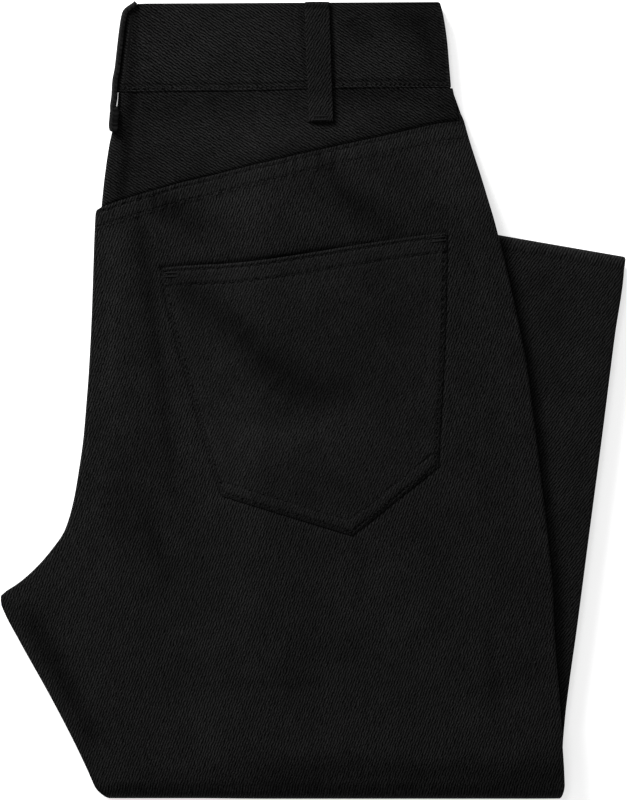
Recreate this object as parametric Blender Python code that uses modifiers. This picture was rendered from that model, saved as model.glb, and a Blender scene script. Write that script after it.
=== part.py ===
"""Black denim skinny jeans, folded in half along the centre back and laid flat on Z = 0.

The waist points to +Y and the back of the right half faces up. The legs are folded twice: they turn
under the body at the bottom fold, run up again to the upper fold and back down to the hem, so three
runs of the leg lie on one another. A run is four plies: right back, right front, left front, left back.
The two front plies lie hidden inside the fold and share one solid. Sizes are in millimetres.
"""

import math

import bmesh
import bpy
import numpy as np
from mathutils.bvhtree import BVHTree

MM = 0.001
FAR = 60.0

# Cloth, and the build of one run of four plies
CLOTH = 1.2
GAP = 0.3
FRONT_PLIES = 3.0
RUN = 2 * (CLOTH + GAP) + FRONT_PLIES
PACK = RUN / 2

# Space between the runs, and how far the cloth falls off the edge of the run below it
SPACE_UPPER = 2.6
SPACE_LOWER = 1.0
BODY_ON_TABLE = 2.2
FALL_MARGIN = 8.0
FALL_UPPER = 44.0
FALL_LOWER = 40.0

# Outer edge of the bottom fold, and foot of the waistband
FOLD_Y = -205.9
BAND_FOOT_Y = 161.7

# Waistband: two plies of cloth, folded into four layers
BAND_WALL = 2.0
BAND_SPACING = BAND_WALL + GAP
BAND_REST = 1.9
BAND_COLUMNS = 7

# Back pocket, belt loops
POCKET_CLOTH = 1.0
LOOP_WIDTH = 12.5
LOOP_CLOTH = 1.6
LOOP_COLUMNS = 3

# Half the space left at the yoke seam, and the steps of every half turn
SEAM = 0.2
TURN_STEPS = 5

# How deep a panel's edge curls: round the centre-back fold, and at an inseam or side seam
CURL_CENTRE_BACK = PACK - 0.5
CURL_SEAM = 1.6
CURL_SHOULDER = 0.29
CENTRE_FRONT_INSET = 2.0
CURLED_POINTS = 3
COLUMNS_BETWEEN = 9

# Edges sharper than this many degrees stay sharp
SHARP = 40.0


def table(columns, rows):
    """A small table whose columns are read by name."""
    return np.array(rows, dtype=[(column, float) for column in columns.split()])


def read(rows, column, at, key="y"):
    """The column's value at a height, on straight lines between the table's rows."""
    order = np.argsort(rows[key])
    return np.interp(at, rows[key][order], rows[column][order])


# Outline of the waistband from its top edge to its foot
BAND = table(
    "y left right",
    [(205.9, -96.6, 65.2), (184.0, -98.6, 68.4), (162.0, -101.6, 71.7)],
)

# Outline of the yoke, which stands a seam's thickness inside the body below it
YOKE = table(
    "y left right",
    [(161.7, -102.0, 71.9), (147.0, -103.7, 75.6), (131.5, -105.9, 79.0), (101.4, -109.6, 88.0)],
)

# Outline of the seat and thigh: centre back or inseam at the left, side seam at the right
BODY = table(
    "y left right",
    [
        (145.6, -108.0, 76.2),
        (142.6, -108.2, 79.0),
        (101.4, -109.9, 91.3),
        (98.4, -112.7, 92.0),
        (44.0, -115.0, 104.8),
        (-20.0, -117.4, 114.8),
        (-38.0, -120.6, 117.3),
        (-53.0, -124.0, 118.8),
        (-67.0, -128.5, 120.3),
        (-78.0, -136.5, 121.4),
        (-88.4, -147.1, 122.3),
        (-100.4, -161.7, 123.4),
        (-109.0, -159.8, 124.0),
        (-124.0, -151.2, 125.0),
        (-153.0, -135.3, 126.7),
        (-180.0, -121.5, 128.4),
        (-206.0, -108.0, 130.0),
    ],
)

# Outline of the leg's second run, from the bottom fold up: inseam at the left, side seam at the right
SECOND_RUN = table(
    "y left right",
    [
        (-206.0, -108.0, 129.8),
        (-158.0, -91.3, 130.8),
        (-108.0, -68.9, 136.8),
        (-48.0, -46.5, 145.4),
        (22.0, -24.7, 155.2),
        (74.0, -13.0, 162.0),
        (103.0, -7.5, 162.0),
    ],
)

# The upper fold's outer edge, from the inseam to the side seam, and the hem inside it
UPPER_FOLD_LEFT = np.array([-7.5, 103.0])
UPPER_FOLD_RIGHT = np.array([162.0, 73.8])
HEM_LEFT = np.array([-20.0, -164.0])
HEM_RIGHT = np.array([114.0, -180.0])

# Rows across the garment, each from its left end to its right end, with the bow of its middle and the
# curl of its left edge. The last yoke row and the first body row are the yoke seam.
YOKE_ROWS = table(
    "left_y right_y bow",
    [(161.7, 161.7, 0.0), (145.0, 157.5, 0.8), (124.0, 152.0, 2.0), (101.4, 145.9, 3.2)],
)
BODY_ROWS = table(
    "left_y right_y bow curl",
    [
        (101.4, 145.6, 3.2, CURL_CENTRE_BACK),
        (98.4, 142.6, 3.2, CURL_CENTRE_BACK),
        (84.0, 118.0, 2.4, CURL_CENTRE_BACK),
        (66.0, 88.0, 1.5, CURL_CENTRE_BACK),
        (42.0, 56.0, 0.8, CURL_CENTRE_BACK),
        (12.0, 21.0, 0.0, CURL_CENTRE_BACK),
        (-20.0, -15.0, 0.0, CURL_CENTRE_BACK),
        (-38.0, -35.0, 0.0, CURL_CENTRE_BACK),
        (-53.0, -51.0, 0.0, CURL_CENTRE_BACK),
        (-67.0, -66.0, 0.0, CURL_CENTRE_BACK),
        (-78.0, -78.0, 0.0, CURL_CENTRE_BACK),
        (-88.4, -88.4, 0.0, CURL_CENTRE_BACK),
        (-100.4, -100.4, 0.0, CURL_SEAM),
        (-109.0, -110.0, 0.0, CURL_SEAM),
        (-124.0, -126.0, 0.0, CURL_SEAM),
        (-153.0, -153.0, 0.0, CURL_SEAM),
        (-180.0, -180.0, 0.0, CURL_SEAM),
    ],
)
SECOND_ROWS = table(
    "left_y right_y",
    [(-165.0, -170.0), (-125.0, -134.0), (-80.0, -94.0), (-30.0, -50.0), (22.0, -4.0), (64.0, 36.0)],
)
THIRD_ROWS = (0.18, 0.38, 0.58, 0.79, 1.0)

# The edges of the two front plies, at an inseam or side seam: how far inside the curled back panels
# each point lies, and how far from the pack's middle. The groove between the plies is at its deepest
# in the middle.
FRONT_EDGE = table(
    "inset ply",
    [(2.2, 1.5), (1.7, 1.1), (1.7, 0.5), (2.6, 0.0), (1.7, -0.5), (1.7, -1.1), (2.2, -1.5)],
)

# Back pocket, as laid: down its left side from the mouth, round the point and up its right side
POCKET = table(
    "x y",
    [
        (-79.3, 69.3),
        (-78.4, 61.2),
        (-73.2, 37.9),
        (-66.8, 14.8),
        (-59.8, -8.9),
        (-53.1, -32.6),
        (-47.8, -49.1),
        (20.2, -69.8),
        (64.6, -34.3),
        (66.8, 6.9),
        (68.4, 44.2),
        (69.4, 87.2),
        (25.7, 81.5),
        (-11.2, 75.4),
        (-36.1, 72.2),
    ],
)

# Belt loop at the side back: its two ends in plan, and how high its inner face stands over the
# waistband and over the yoke along its length
SIDE_LOOP_TOP = (1.8, 207.4)
SIDE_LOOP_FOOT = (3.6, 144.6)
SIDE_LOOP = table(
    "y rise",
    [(207.4, 0.0), (203.0, 0.1), (196.0, 1.0), (184.0, 1.6), (172.0, 1.4), (164.0, 0.5)],
)
SIDE_LOOP_ON_YOKE = table("y rise", [(157.0, 1.0), (152.0, 0.2), (144.6, 0.0)])

# Belt loop over the centre-back fold, seen edge-on: its outer face along its length
CENTRE_LOOP = table(
    "y x",
    [
        (204.4, -98.6),
        (194.0, -99.7),
        (183.6, -101.2),
        (172.0, -103.0),
        (162.0, -104.6),
        (151.0, -106.1),
        (146.0, -106.4),
        (140.4, -106.5),
    ],
)
CENTRE_LOOP_REACH = 5.0
CENTRE_LOOP_HOLLOW = 1.2
CENTRE_LOOP_COLUMNS = 7

# Colours, as red, green and blue of the cloth in linear light
DENIM = (0.012, 0.012, 0.013)
DENIM_ROUGHNESS = 0.85


def fall(distance, reach):
    """1 up to the margin outside an edge, then a soft S-shaped fall to 0 over the reach."""
    t = np.clip((distance - FALL_MARGIN) / reach, 0.0, 1.0)
    return 1.0 - t * t * (3.0 - 2.0 * t)


def upper_fold_out():
    """The unit vector in plan that points outwards from the upper fold."""
    along = UPPER_FOLD_RIGHT - UPPER_FOLD_LEFT
    along = along / np.linalg.norm(along)
    return np.array([-along[1], along[0]])


def outside_second_run(x, y):
    """Plan distance outside the inseam and the upper fold of the second run."""
    out = upper_fold_out()
    beside = read(SECOND_RUN, "left", y) - x
    above = (x - UPPER_FOLD_LEFT[0]) * out[0] + (y - UPPER_FOLD_LEFT[1]) * out[1]
    return np.hypot(np.maximum(beside, 0.0), np.maximum(above, 0.0))


def outside_third_run(x, y):
    """Plan distance outside the two seams and the hem of the third run."""
    down = (UPPER_FOLD_LEFT[1] - y) / (UPPER_FOLD_LEFT[1] - HEM_LEFT[1])
    left = UPPER_FOLD_LEFT[0] + (HEM_LEFT[0] - UPPER_FOLD_LEFT[0]) * down
    down = (UPPER_FOLD_RIGHT[1] - y) / (UPPER_FOLD_RIGHT[1] - HEM_RIGHT[1])
    right = UPPER_FOLD_RIGHT[0] + (HEM_RIGHT[0] - UPPER_FOLD_RIGHT[0]) * down
    beside = np.maximum(left - x, x - right)
    hem_y = (HEM_LEFT[1] + HEM_RIGHT[1]) / 2
    return np.hypot(np.maximum(beside, 0.0), np.maximum(hem_y - y, 0.0))


def second_base(x, y):
    """Height of the underside of the second run over the table."""
    return (RUN + SPACE_LOWER) * fall(outside_third_run(x, y), FALL_LOWER)


def body_base(x, y):
    """Height of the underside of the body over the table."""
    carried = second_base(x, y) + RUN + SPACE_UPPER
    return BODY_ON_TABLE + (carried - BODY_ON_TABLE) * fall(outside_second_run(x, y), FALL_UPPER)


def row_across(left, right, bow, curl_left, curl_right):
    """Points of one row in plan, and how far each lies down the curl of its edge.

    The first curled points follow the quarter round of the left edge, the last ones that of the right
    edge, and the rest share out the width between them.
    """
    left = np.asarray(left, float)
    right = np.asarray(right, float)
    width = np.linalg.norm(right - left)
    start = np.array([0.0, CURL_SHOULDER * curl_left, curl_left])
    end = width - np.array([curl_right, CURL_SHOULDER * curl_right, 0.0])
    between = np.linspace(curl_left, width - curl_right, COLUMNS_BETWEEN + 2)[1:-1]
    along = np.concatenate([start, between, end]) / width
    plan = left + (right - left) * along[:, None]
    plan[:, 1] += 4.0 * bow * along * (1.0 - along)
    drop = np.zeros(len(along))
    drop[:2] = (curl_left, CURL_SHOULDER * curl_left)
    drop[-2:] = (CURL_SHOULDER * curl_right, curl_right)
    return plan, drop


def flat_row(plan, drop, base, up):
    """A row of a flat run: its middle height, its ply direction and its curl."""
    middle = np.column_stack([plan, base + PACK])
    direction = np.zeros_like(middle)
    direction[:, 2] = up
    return middle, direction, drop


def yoke_rows():
    """The rows of the yoke, down to the yoke seam."""
    rows = []
    for number, row in enumerate(YOKE_ROWS):
        left = (read(YOKE, "left", row["left_y"]), row["left_y"])
        right = (read(YOKE, "right", row["right_y"]), row["right_y"])
        plan, drop = row_across(left, right, row["bow"], CURL_CENTRE_BACK, CURL_SEAM)
        if number == len(YOKE_ROWS) - 1:
            plan[:, 1] = yoke_seam(plan[:, 0]) + SEAM
        rows.append(flat_row(plan, drop, body_base(plan[:, 0], plan[:, 1]), 1.0))
    return rows


def yoke_seam(x):
    """Height of the yoke seam: a slanted line that bows upwards."""
    seam = YOKE_ROWS[-1]
    left = read(YOKE, "left", seam["left_y"])
    right = read(YOKE, "right", seam["right_y"])
    share = (x - left) / (right - left)
    slant = seam["left_y"] + (seam["right_y"] - seam["left_y"]) * share
    return slant + 4.0 * seam["bow"] * share * (1.0 - share)


def leg_rows():
    """The rows of seat and leg: the body, the bottom fold, and the second and third runs."""
    rows = []
    for number, row in enumerate(BODY_ROWS):
        left = (read(BODY, "left", row["left_y"]), row["left_y"])
        right = (read(BODY, "right", row["right_y"]), row["right_y"])
        plan, drop = row_across(left, right, row["bow"], row["curl"], CURL_SEAM)
        if number == 0:
            plan[:, 1] = yoke_seam(plan[:, 0]) - SEAM
        rows.append(flat_row(plan, drop, body_base(plan[:, 0], plan[:, 1]), 1.0))
    rows += bottom_fold_rows()
    for row in SECOND_ROWS:
        left = (read(SECOND_RUN, "left", row["left_y"]), row["left_y"])
        right = (read(SECOND_RUN, "right", row["right_y"]), row["right_y"])
        plan, drop = row_across(left, right, 0.0, CURL_SEAM, CURL_SEAM)
        rows.append(flat_row(plan, drop, second_base(plan[:, 0], plan[:, 1]), -1.0))
    rows += upper_fold_rows()
    out = upper_fold_out()
    inset = (PACK + upper_fold_radius()) * out
    for share in THIRD_ROWS:
        left = UPPER_FOLD_LEFT - inset + (HEM_LEFT - UPPER_FOLD_LEFT + inset) * share
        right = UPPER_FOLD_RIGHT - inset + (HEM_RIGHT - UPPER_FOLD_RIGHT + inset) * share
        plan, drop = row_across(left, right, 0.0, CURL_SEAM, CURL_SEAM)
        rows.append(flat_row(plan, drop, np.zeros(len(plan)), 1.0))
    return rows


def bottom_fold_rows():
    """Half turns about an axis along X, which carry the body into the second run under it."""
    radius = (RUN + SPACE_UPPER) / 2
    axis_y = FOLD_Y + PACK + radius
    rows = []
    for angle in np.linspace(0.0, math.pi, TURN_STEPS + 1):
        turned = np.array([1 - angle / math.pi, angle / math.pi])
        x_left = turned @ [read(BODY, "left", axis_y), read(SECOND_RUN, "left", axis_y)]
        x_right = turned @ [read(BODY, "right", axis_y), read(SECOND_RUN, "right", axis_y)]
        plan, drop = row_across((x_left, axis_y), (x_right, axis_y), 0.0, CURL_SEAM, CURL_SEAM)
        axis_z = second_base(plan[:, 0], plan[:, 1]) + PACK + radius
        middle = np.column_stack([plan, axis_z])
        direction = np.zeros_like(middle)
        direction[:, 1] = -math.sin(angle)
        direction[:, 2] = math.cos(angle)
        rows.append((middle + radius * direction, direction, drop))
    return rows


def upper_fold_radius():
    """Radius of the middle of the pack where it turns at the upper fold."""
    return (RUN + SPACE_LOWER) / 2


def upper_fold_rows():
    """Half turns about the slanted upper fold, which carry the second run into the third."""
    radius = upper_fold_radius()
    out = upper_fold_out()
    inset = (PACK + radius) * out
    left = UPPER_FOLD_LEFT - inset
    right = UPPER_FOLD_RIGHT - inset
    plan, drop = row_across(left, right, 0.0, CURL_SEAM, CURL_SEAM)
    rows = []
    for angle in np.linspace(0.0, math.pi, TURN_STEPS + 1):
        axis = np.column_stack([plan, np.full(len(plan), PACK + radius)])
        outward = np.array([out[0] * math.sin(angle), out[1] * math.sin(angle), math.cos(angle)])
        direction = np.tile(-outward, (len(plan), 1))
        rows.append((axis + radius * outward, direction, drop))
    return rows


def ply_face(rows, side):
    """Outer face of the right (side 1) or left (side -1) back ply, with its edges curled in."""
    return np.array([middle + side * (PACK - drop)[:, None] * up for middle, up, drop in rows])


def front_ring(row, curl_left):
    """The closed outline of the two front plies in one row, with a groove between them at the edges."""
    middle, up, _ = row
    deeper = CENTRE_FRONT_INSET * (curl_left - CURL_SEAM)
    inner = middle[CURLED_POINTS:-CURLED_POINTS]
    raised = FRONT_PLIES / 2 * up[CURLED_POINTS:-CURLED_POINTS]
    from_left = inner[0] - middle[0]
    from_left = from_left / np.linalg.norm(from_left)
    from_right = inner[-1] - middle[-1]
    from_right = from_right / np.linalg.norm(from_right)
    inset = FRONT_EDGE["inset"][:, None]
    ply = FRONT_EDGE["ply"][:, None]
    right = middle[-1] + from_right * inset + up[-1] * ply
    left = middle[0] + from_left * (inset + deeper) + up[0] * ply
    return np.concatenate([inner + raised, right, (inner - raised)[::-1], left[::-1]])


def new_object(name, points, faces, collection):
    """An object of these points, given in millimetres, in the collection."""
    mesh = bpy.data.meshes.new(name)
    mesh.from_pydata((np.asarray(points) * MM).tolist(), [], faces)
    mesh.update()
    made = bpy.data.objects.new(name, mesh)
    collection.objects.link(made)
    return made


def grid_faces(rows, columns, closed=False, flip=False, returning=()):
    """The faces of a grid of points, joined round its columns if it is closed.

    Each cell is cut along the same diagonal, so that nested pieces stay parallel. In the returning
    columns the points run back across the garment, and so does the diagonal.
    """
    faces = []
    for row in range(rows - 1):
        for column in range(columns if closed else columns - 1):
            after = (column + 1) % columns
            near = row * columns + column
            far = near + columns
            near_after = row * columns + after
            far_after = near_after + columns
            if column in returning:
                cell = [(near, far, near_after), (far, far_after, near_after)]
            else:
                cell = [(near, far, far_after), (near, far_after, near_after)]
            faces += [face[::-1] if flip else face for face in cell]
    return faces


def wall(name, grid, thickness, collection, flip=False, closed=False, offset=-1.0):
    """A piece of cloth: the open surface of the grid, thickened behind its face."""
    rows, columns = grid.shape[:2]
    made = new_object(name, grid.reshape(-1, 3), grid_faces(rows, columns, closed, flip), collection)
    solid = made.modifiers.new("thickness", "SOLIDIFY")
    solid.thickness = thickness * MM
    solid.offset = offset
    solid.use_even_offset = False
    return made


def back_panels(collection):
    """Seat and leg of each half: the outermost plies of the pack, from the yoke seam to the hem."""
    rows = leg_rows()
    right = wall("back_panel_right", ply_face(rows, 1), CLOTH, collection)
    left = wall("back_panel_left", ply_face(rows, -1), CLOTH, collection, flip=True)
    return right, left


def yokes(collection):
    """The shaped pieces between waistband and seat, one in each half."""
    rows = yoke_rows()
    right = wall("yoke_right", ply_face(rows, 1), CLOTH, collection)
    left = wall("yoke_left", ply_face(rows, -1), CLOTH, collection, flip=True)
    return right, left


def hidden_layers(collection):
    """The two front plies, which lie inside the fold from the waistband to the hem."""
    rings = [front_ring(row, CURL_CENTRE_BACK) for row in yoke_rows()]
    curls = np.full(len(leg_rows()), CURL_SEAM)
    curls[: len(BODY_ROWS)] = BODY_ROWS["curl"]
    rings += [front_ring(row, curl) for row, curl in zip(leg_rows(), curls)]
    grid = np.array(rings)
    rows, columns = grid.shape[:2]
    returning = range(columns // 2 - 1, columns - 1)
    faces = grid_faces(rows, columns, closed=True, returning=returning)
    faces.append(list(range(columns)))
    faces.append(list(range(rows * columns - 1, (rows - 1) * columns - 1, -1)))
    made = new_object("hidden_layers", grid.reshape(-1, 3), faces, collection)
    face_outwards(made)
    return made


def face_outwards(made):
    """Turns every face of a closed mesh outwards."""
    shape = bmesh.new()
    shape.from_mesh(made.data)
    bmesh.ops.recalc_face_normals(shape, faces=shape.faces)
    shape.to_mesh(made.data)
    shape.free()


def turn(centre_x, centre_z, radius, start, end):
    """Points of an arc in the section plane, without its two ends; angles in degrees."""
    steps = np.radians(np.linspace(start, end, TURN_STEPS + 1)[1:-1])
    return [(centre_x + radius * math.cos(a), centre_z + radius * math.sin(a)) for a in steps]


def band_section(left, right):
    """Middle line of the folded waistband in section: four layers joined by four turns."""
    levels = [BAND_REST + BAND_WALL / 2 + BAND_SPACING * layer for layer in range(4)]
    turn_radius = BAND_SPACING / 2
    centre_radius = BAND_SPACING * 1.5
    middle = (levels[0] + levels[3]) / 2
    x_left = left + BAND_WALL / 2 + centre_radius
    x_right = right - BAND_WALL / 2 - turn_radius
    outward = np.linspace(x_left, x_right, BAND_COLUMNS)
    section = [(x, levels[3]) for x in outward]
    section += turn(x_right, levels[3] - turn_radius, turn_radius, 90, -90)
    section += [(x, levels[2]) for x in outward[::-1]]
    section += turn(x_left, middle, turn_radius, 90, 270)
    section += [(x, levels[1]) for x in outward]
    section += turn(x_right, levels[0] + turn_radius, turn_radius, 90, -90)
    section += [(x, levels[0]) for x in outward[::-1]]
    section += turn(x_left, middle, centre_radius, 270, 90)
    return section


def waistband(collection):
    """One doubled strip all round the waist, folded flat with the garment."""
    grid = []
    for row in BAND:
        grid.append([(x, row["y"], z) for x, z in band_section(row["left"], row["right"])])
    return wall("waistband", np.array(grid), BAND_WALL, collection, closed=True, offset=0.0)


def back_pocket(name, side, collection, cutters):
    """A patch made of the panel's own points, moved out, and cut to the pocket's outline."""
    face = ply_face(leg_rows()[: len(BODY_ROWS)], side)[:, 2:-2]
    lifted = face.copy()
    lifted[:, :, 2] += side * (GAP + POCKET_CLOTH)
    patch = wall(name, lifted, POCKET_CLOTH, collection, flip=side < 0)
    corners = [(p["x"], p["y"]) for p in POCKET]
    count = len(corners)
    points = [(x, y, -FAR) for x, y in corners] + [(x, y, FAR) for x, y in corners]
    faces = [list(range(count))[::-1], list(range(count, 2 * count))]
    faces += [(i, (i + 1) % count, (i + 1) % count + count, i + count) for i in range(count)]
    cutter = new_object(name + "_outline", points, faces, cutters)
    face_outwards(cutter)
    cutter.hide_render = True
    cutter.display_type = "WIRE"
    cut = patch.modifiers.new("outline", "BOOLEAN")
    cut.operation = "INTERSECT"
    cut.solver = "EXACT"
    cut.object = cutter
    return patch


def side_loop(name, side, collection):
    """A narrow strap over the waistband, stitched down above its top edge and on the yoke."""
    band_face = BAND_REST + (BAND_WALL + 3 * BAND_SPACING if side > 0 else 0.0)
    face = ply_face(yoke_rows(), side)
    faces = grid_faces(*face.shape[:2])
    yoke = BVHTree.FromPolygons(face.reshape(-1, 3).tolist(), faces)
    grid = []
    stands_up = side > 0
    for y in (*SIDE_LOOP["y"], *SIDE_LOOP_ON_YOKE["y"]):
        share = (SIDE_LOOP_TOP[1] - y) / (SIDE_LOOP_TOP[1] - SIDE_LOOP_FOOT[1])
        centre = SIDE_LOOP_TOP[0] + (SIDE_LOOP_FOOT[0] - SIDE_LOOP_TOP[0]) * share
        on_band = y > BAND_FOOT_Y
        rise = read(SIDE_LOOP if on_band else SIDE_LOOP_ON_YOKE, "rise", y) * stands_up
        row = []
        for x in centre + np.linspace(-LOOP_WIDTH / 2, LOOP_WIDTH / 2, LOOP_COLUMNS):
            if on_band:
                under = band_face
            else:
                under = yoke.ray_cast((x, y, side * FAR), (0.0, 0.0, -side))[0][2]
            row.append((x, y, under + side * (GAP + rise)))
        grid.append(row)
    return wall(name, np.array(grid), LOOP_CLOTH, collection, flip=side < 0, offset=1.0)


def centre_back_loop(collection):
    """The strap over the centre-back fold, bent round the folded edge and seen edge-on."""
    middle = BAND_REST + (BAND_WALL + 3 * BAND_SPACING) / 2
    around = np.linspace(-1.0, 1.0, CENTRE_LOOP_COLUMNS)
    x = CENTRE_LOOP["x"][:, None] + CENTRE_LOOP_HOLLOW * around**2
    y = np.tile(CENTRE_LOOP["y"][:, None], CENTRE_LOOP_COLUMNS)
    z = middle + CENTRE_LOOP_REACH * np.tile(around, (len(CENTRE_LOOP), 1))
    return wall("belt_loop_centre_back", np.stack([x, y, z], -1), LOOP_CLOTH, collection)


def denim(name):
    """The finish of one piece: matt black twill."""
    material = bpy.data.materials.new(name + "_denim")
    material.use_nodes = True
    shader = material.node_tree.nodes["Principled BSDF"]
    shader.inputs["Base Color"].default_value = (*DENIM, 1.0)
    shader.inputs["Roughness"].default_value = DENIM_ROUGHNESS
    shader.inputs["Metallic"].default_value = 0.0
    return material


def finish(pieces):
    """Gives each piece its own material and smooth shading."""
    for piece in pieces:
        piece.data.materials.append(denim(piece.name))
        piece.data.shade_smooth()
        piece.data.set_sharp_from_angle(angle=math.radians(SHARP))


def clear_scene():
    """Removes whatever the scene holds."""
    for old in list(bpy.data.objects):
        bpy.data.objects.remove(old, do_unlink=True)


def build():
    """Makes the jeans, panel by panel."""
    clear_scene()
    garment = bpy.data.collections.new("folded_skinny_jeans")
    cutters = bpy.data.collections.new("outlines")
    bpy.context.scene.collection.children.link(garment)
    bpy.context.scene.collection.children.link(cutters)
    pieces = [*back_panels(garment), *yokes(garment), hidden_layers(garment), waistband(garment)]
    pieces.append(back_pocket("back_pocket_right", 1, garment, cutters))
    pieces.append(back_pocket("back_pocket_left", -1, garment, cutters))
    pieces.append(side_loop("belt_loop_side_right", 1, garment))
    pieces.append(side_loop("belt_loop_side_left", -1, garment))
    pieces.append(centre_back_loop(garment))
    finish(pieces)


build()
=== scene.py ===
import math

import bmesh
import bpy
import numpy as np
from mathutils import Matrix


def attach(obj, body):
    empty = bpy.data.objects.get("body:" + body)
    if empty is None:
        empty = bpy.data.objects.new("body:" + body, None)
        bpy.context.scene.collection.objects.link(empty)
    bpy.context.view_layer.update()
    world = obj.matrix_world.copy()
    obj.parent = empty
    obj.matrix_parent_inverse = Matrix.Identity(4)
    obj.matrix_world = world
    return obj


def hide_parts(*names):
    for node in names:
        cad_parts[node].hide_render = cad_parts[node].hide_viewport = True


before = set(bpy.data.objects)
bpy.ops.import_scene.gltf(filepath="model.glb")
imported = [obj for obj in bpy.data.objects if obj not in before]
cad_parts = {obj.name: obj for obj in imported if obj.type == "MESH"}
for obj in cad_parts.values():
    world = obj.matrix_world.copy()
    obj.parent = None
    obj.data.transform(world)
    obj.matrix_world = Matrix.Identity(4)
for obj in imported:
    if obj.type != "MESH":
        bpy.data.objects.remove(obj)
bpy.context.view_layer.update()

# ------------------------------------------------------------------------------------------------ Camera
# The jeans are looked at from straight above, waist up, with a long lens. One pixel of the 627 x 800
# picture is 0.515 mm of cloth. All sizes below are in millimetres, and MM turns them into metres.
MM = 0.001
PIXEL = 0.5154
PICTURE_HEIGHT = 800
PICTURE_MIDDLE_Y = -0.13
SENSOR = 36.0
CAMERA_DISTANCE = 3000.0
CLOTH_LEVEL = 15.0

lens = bpy.data.cameras.new("camera")
lens.sensor_width = SENSOR
lens.lens = SENSOR * CAMERA_DISTANCE / (PICTURE_HEIGHT * PIXEL)
lens.clip_start = 0.1
lens.clip_end = 20.0
camera = bpy.data.objects.new("camera", lens)
camera.location = (0.0, PICTURE_MIDDLE_Y * MM, (CAMERA_DISTANCE + CLOTH_LEVEL) * MM)
bpy.context.scene.collection.objects.link(camera)
bpy.context.scene.camera = camera

# ------------------------------------------------------------------------------------------ Back panels
# Seat and leg of each half, cut in one from the yoke seam to the hem in black cotton twill. They are the
# outer plies of the folded pack: down the body, round the bottom fold, up again to the upper fold, and
# down to the hem. Their side edges curl in to the seams, and their hems are turned up and stitched.

# Height of a folded run and of the air between the runs
RUN = 6.0
PACK = RUN / 2
SPACE_UPPER = 2.6
SPACE_LOWER = 1.0

# How the body falls from the runs below it towards the table, and how it settles on them
BODY_ON_TABLE = 2.6
FALL_MARGIN = 8.0
FALL_UPPER = 52.0
FALL_LOWER = 40.0
BRIDGE_SHARE = 0.6
SETTLED = 0.9
SETTLED_AT_SIDE = 1.2
SETTLING_WIDTH = 34.0
SETTLING_LENGTH = 60.0

# The two folds and the two ends of the hem
FOLD_Y = -205.9
FOLD_ROUNDING = {"left": 3.0, "right": -1.2}
BOTTOM_RADIUS = (RUN + SPACE_UPPER) / 2
BOTTOM_AXIS_Y = FOLD_Y + PACK + BOTTOM_RADIUS
UPPER_RADIUS = (RUN + SPACE_LOWER) / 2
UPPER_AXIS_LEFT_Y = 96.6
UPPER_AXIS_RIGHT_Y = 67.4
HEM_LEFT = np.array([-20.0, -164.0])
HEM_RIGHT = np.array([114.0, -180.0])
HEM_REST = 0.6

# The cloth, the radius of its curled edges, and the direction of its warp on the right and left half
PANEL_CLOTH = 1.0
CURL_CENTRE_BACK = 2.9
CURL_SEAM = 1.35
CROTCH_Y = -98.0
CROTCH_SPAN = 12.0
GRAIN = {1: math.radians(102.0), -1: math.radians(94.5)}

# Outlines of the body and of the second run, the yoke seam, and how the rows across the body fan out
# below that seam. SEAM_GAP is half the gap between two pieces.
SEAM_GAP = 0.15
SEAM_LEFT_Y = 99.9
SEAM_RIGHT_Y = 144.6


def table(columns, rows):
    """A small table whose columns are read by name."""
    return np.array(rows, dtype=[(column, float) for column in columns.split()])


BODY = table(
    "y left right",
    [
        (146.4, -108.0, 77.2), (136.3, -108.4, 80.1), (115.6, -109.0, 86.9), (99.9, -109.6, 91.7),
        (98.4, -112.0, 92.2), (96.4, -112.7, 92.8), (90.0, -113.1, 94.5), (68.1, -113.9, 99.9),
        (44.2, -114.7, 104.9), (14.9, -116.2, 110.3), (-3.6, -117.6, 112.7), (-19.8, -119.0, 114.9),
        (-38.2, -121.6, 117.0), (-52.8, -124.2, 118.8), (-67.4, -128.6, 120.4), (-78.0, -135.8, 121.5),
        (-86.5, -143.2, 122.3), (-94.8, -152.6, 123.1), (-99.2, -159.4, 123.4), (-101.3, -161.6, 123.5),
        (-104.4, -161.7, 123.6), (-108.7, -160.3, 123.7), (-124.3, -152.1, 124.4),
        (-153.4, -135.7, 126.6), (-176.0, -123.8, 128.1), (-191.9, -116.2, 129.2),
        (-206.0, -110.2, 129.8),
    ],
)
SECOND_RUN = table(
    "y left right",
    [
        (-206.0, -108.0, 129.2), (-182.0, -99.5, 128.6), (-165.7, -93.8, 129.7), (-144.0, -84.5, 132.3),
        (-121.2, -74.4, 135.5), (-70.0, -54.0, 142.2), (-17.0, -36.6, 149.2), (33.4, -22.0, 155.6),
        (67.4, -14.0, 160.3), (96.6, -8.7, 161.2),
    ],
)
YOKE_SEAM = table(
    "x y",
    [
        (-111.8, 98.9), (-108.6, 99.9), (-99.7, 102.9), (-79.1, 109.0), (-67.3, 112.3), (-55.4, 115.0),
        (-43.6, 118.0), (-31.7, 120.9), (-19.3, 123.7), (-7.5, 126.6), (4.4, 129.3), (16.8, 132.2),
        (28.6, 134.8), (41.0, 137.6), (53.3, 140.6), (65.2, 143.2), (77.3, 144.7),
    ],
)
ROW_FAN = table(
    "y right",
    [
        (SEAM_LEFT_Y, SEAM_RIGHT_Y), (84.0, 120.0), (66.0, 90.0), (42.0, 57.0), (12.0, 21.0),
        (-20.0, -15.0), (-78.0, -78.0), (-140.0, -140.0), (BOTTOM_AXIS_Y, BOTTOM_AXIS_Y),
    ],
)

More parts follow.
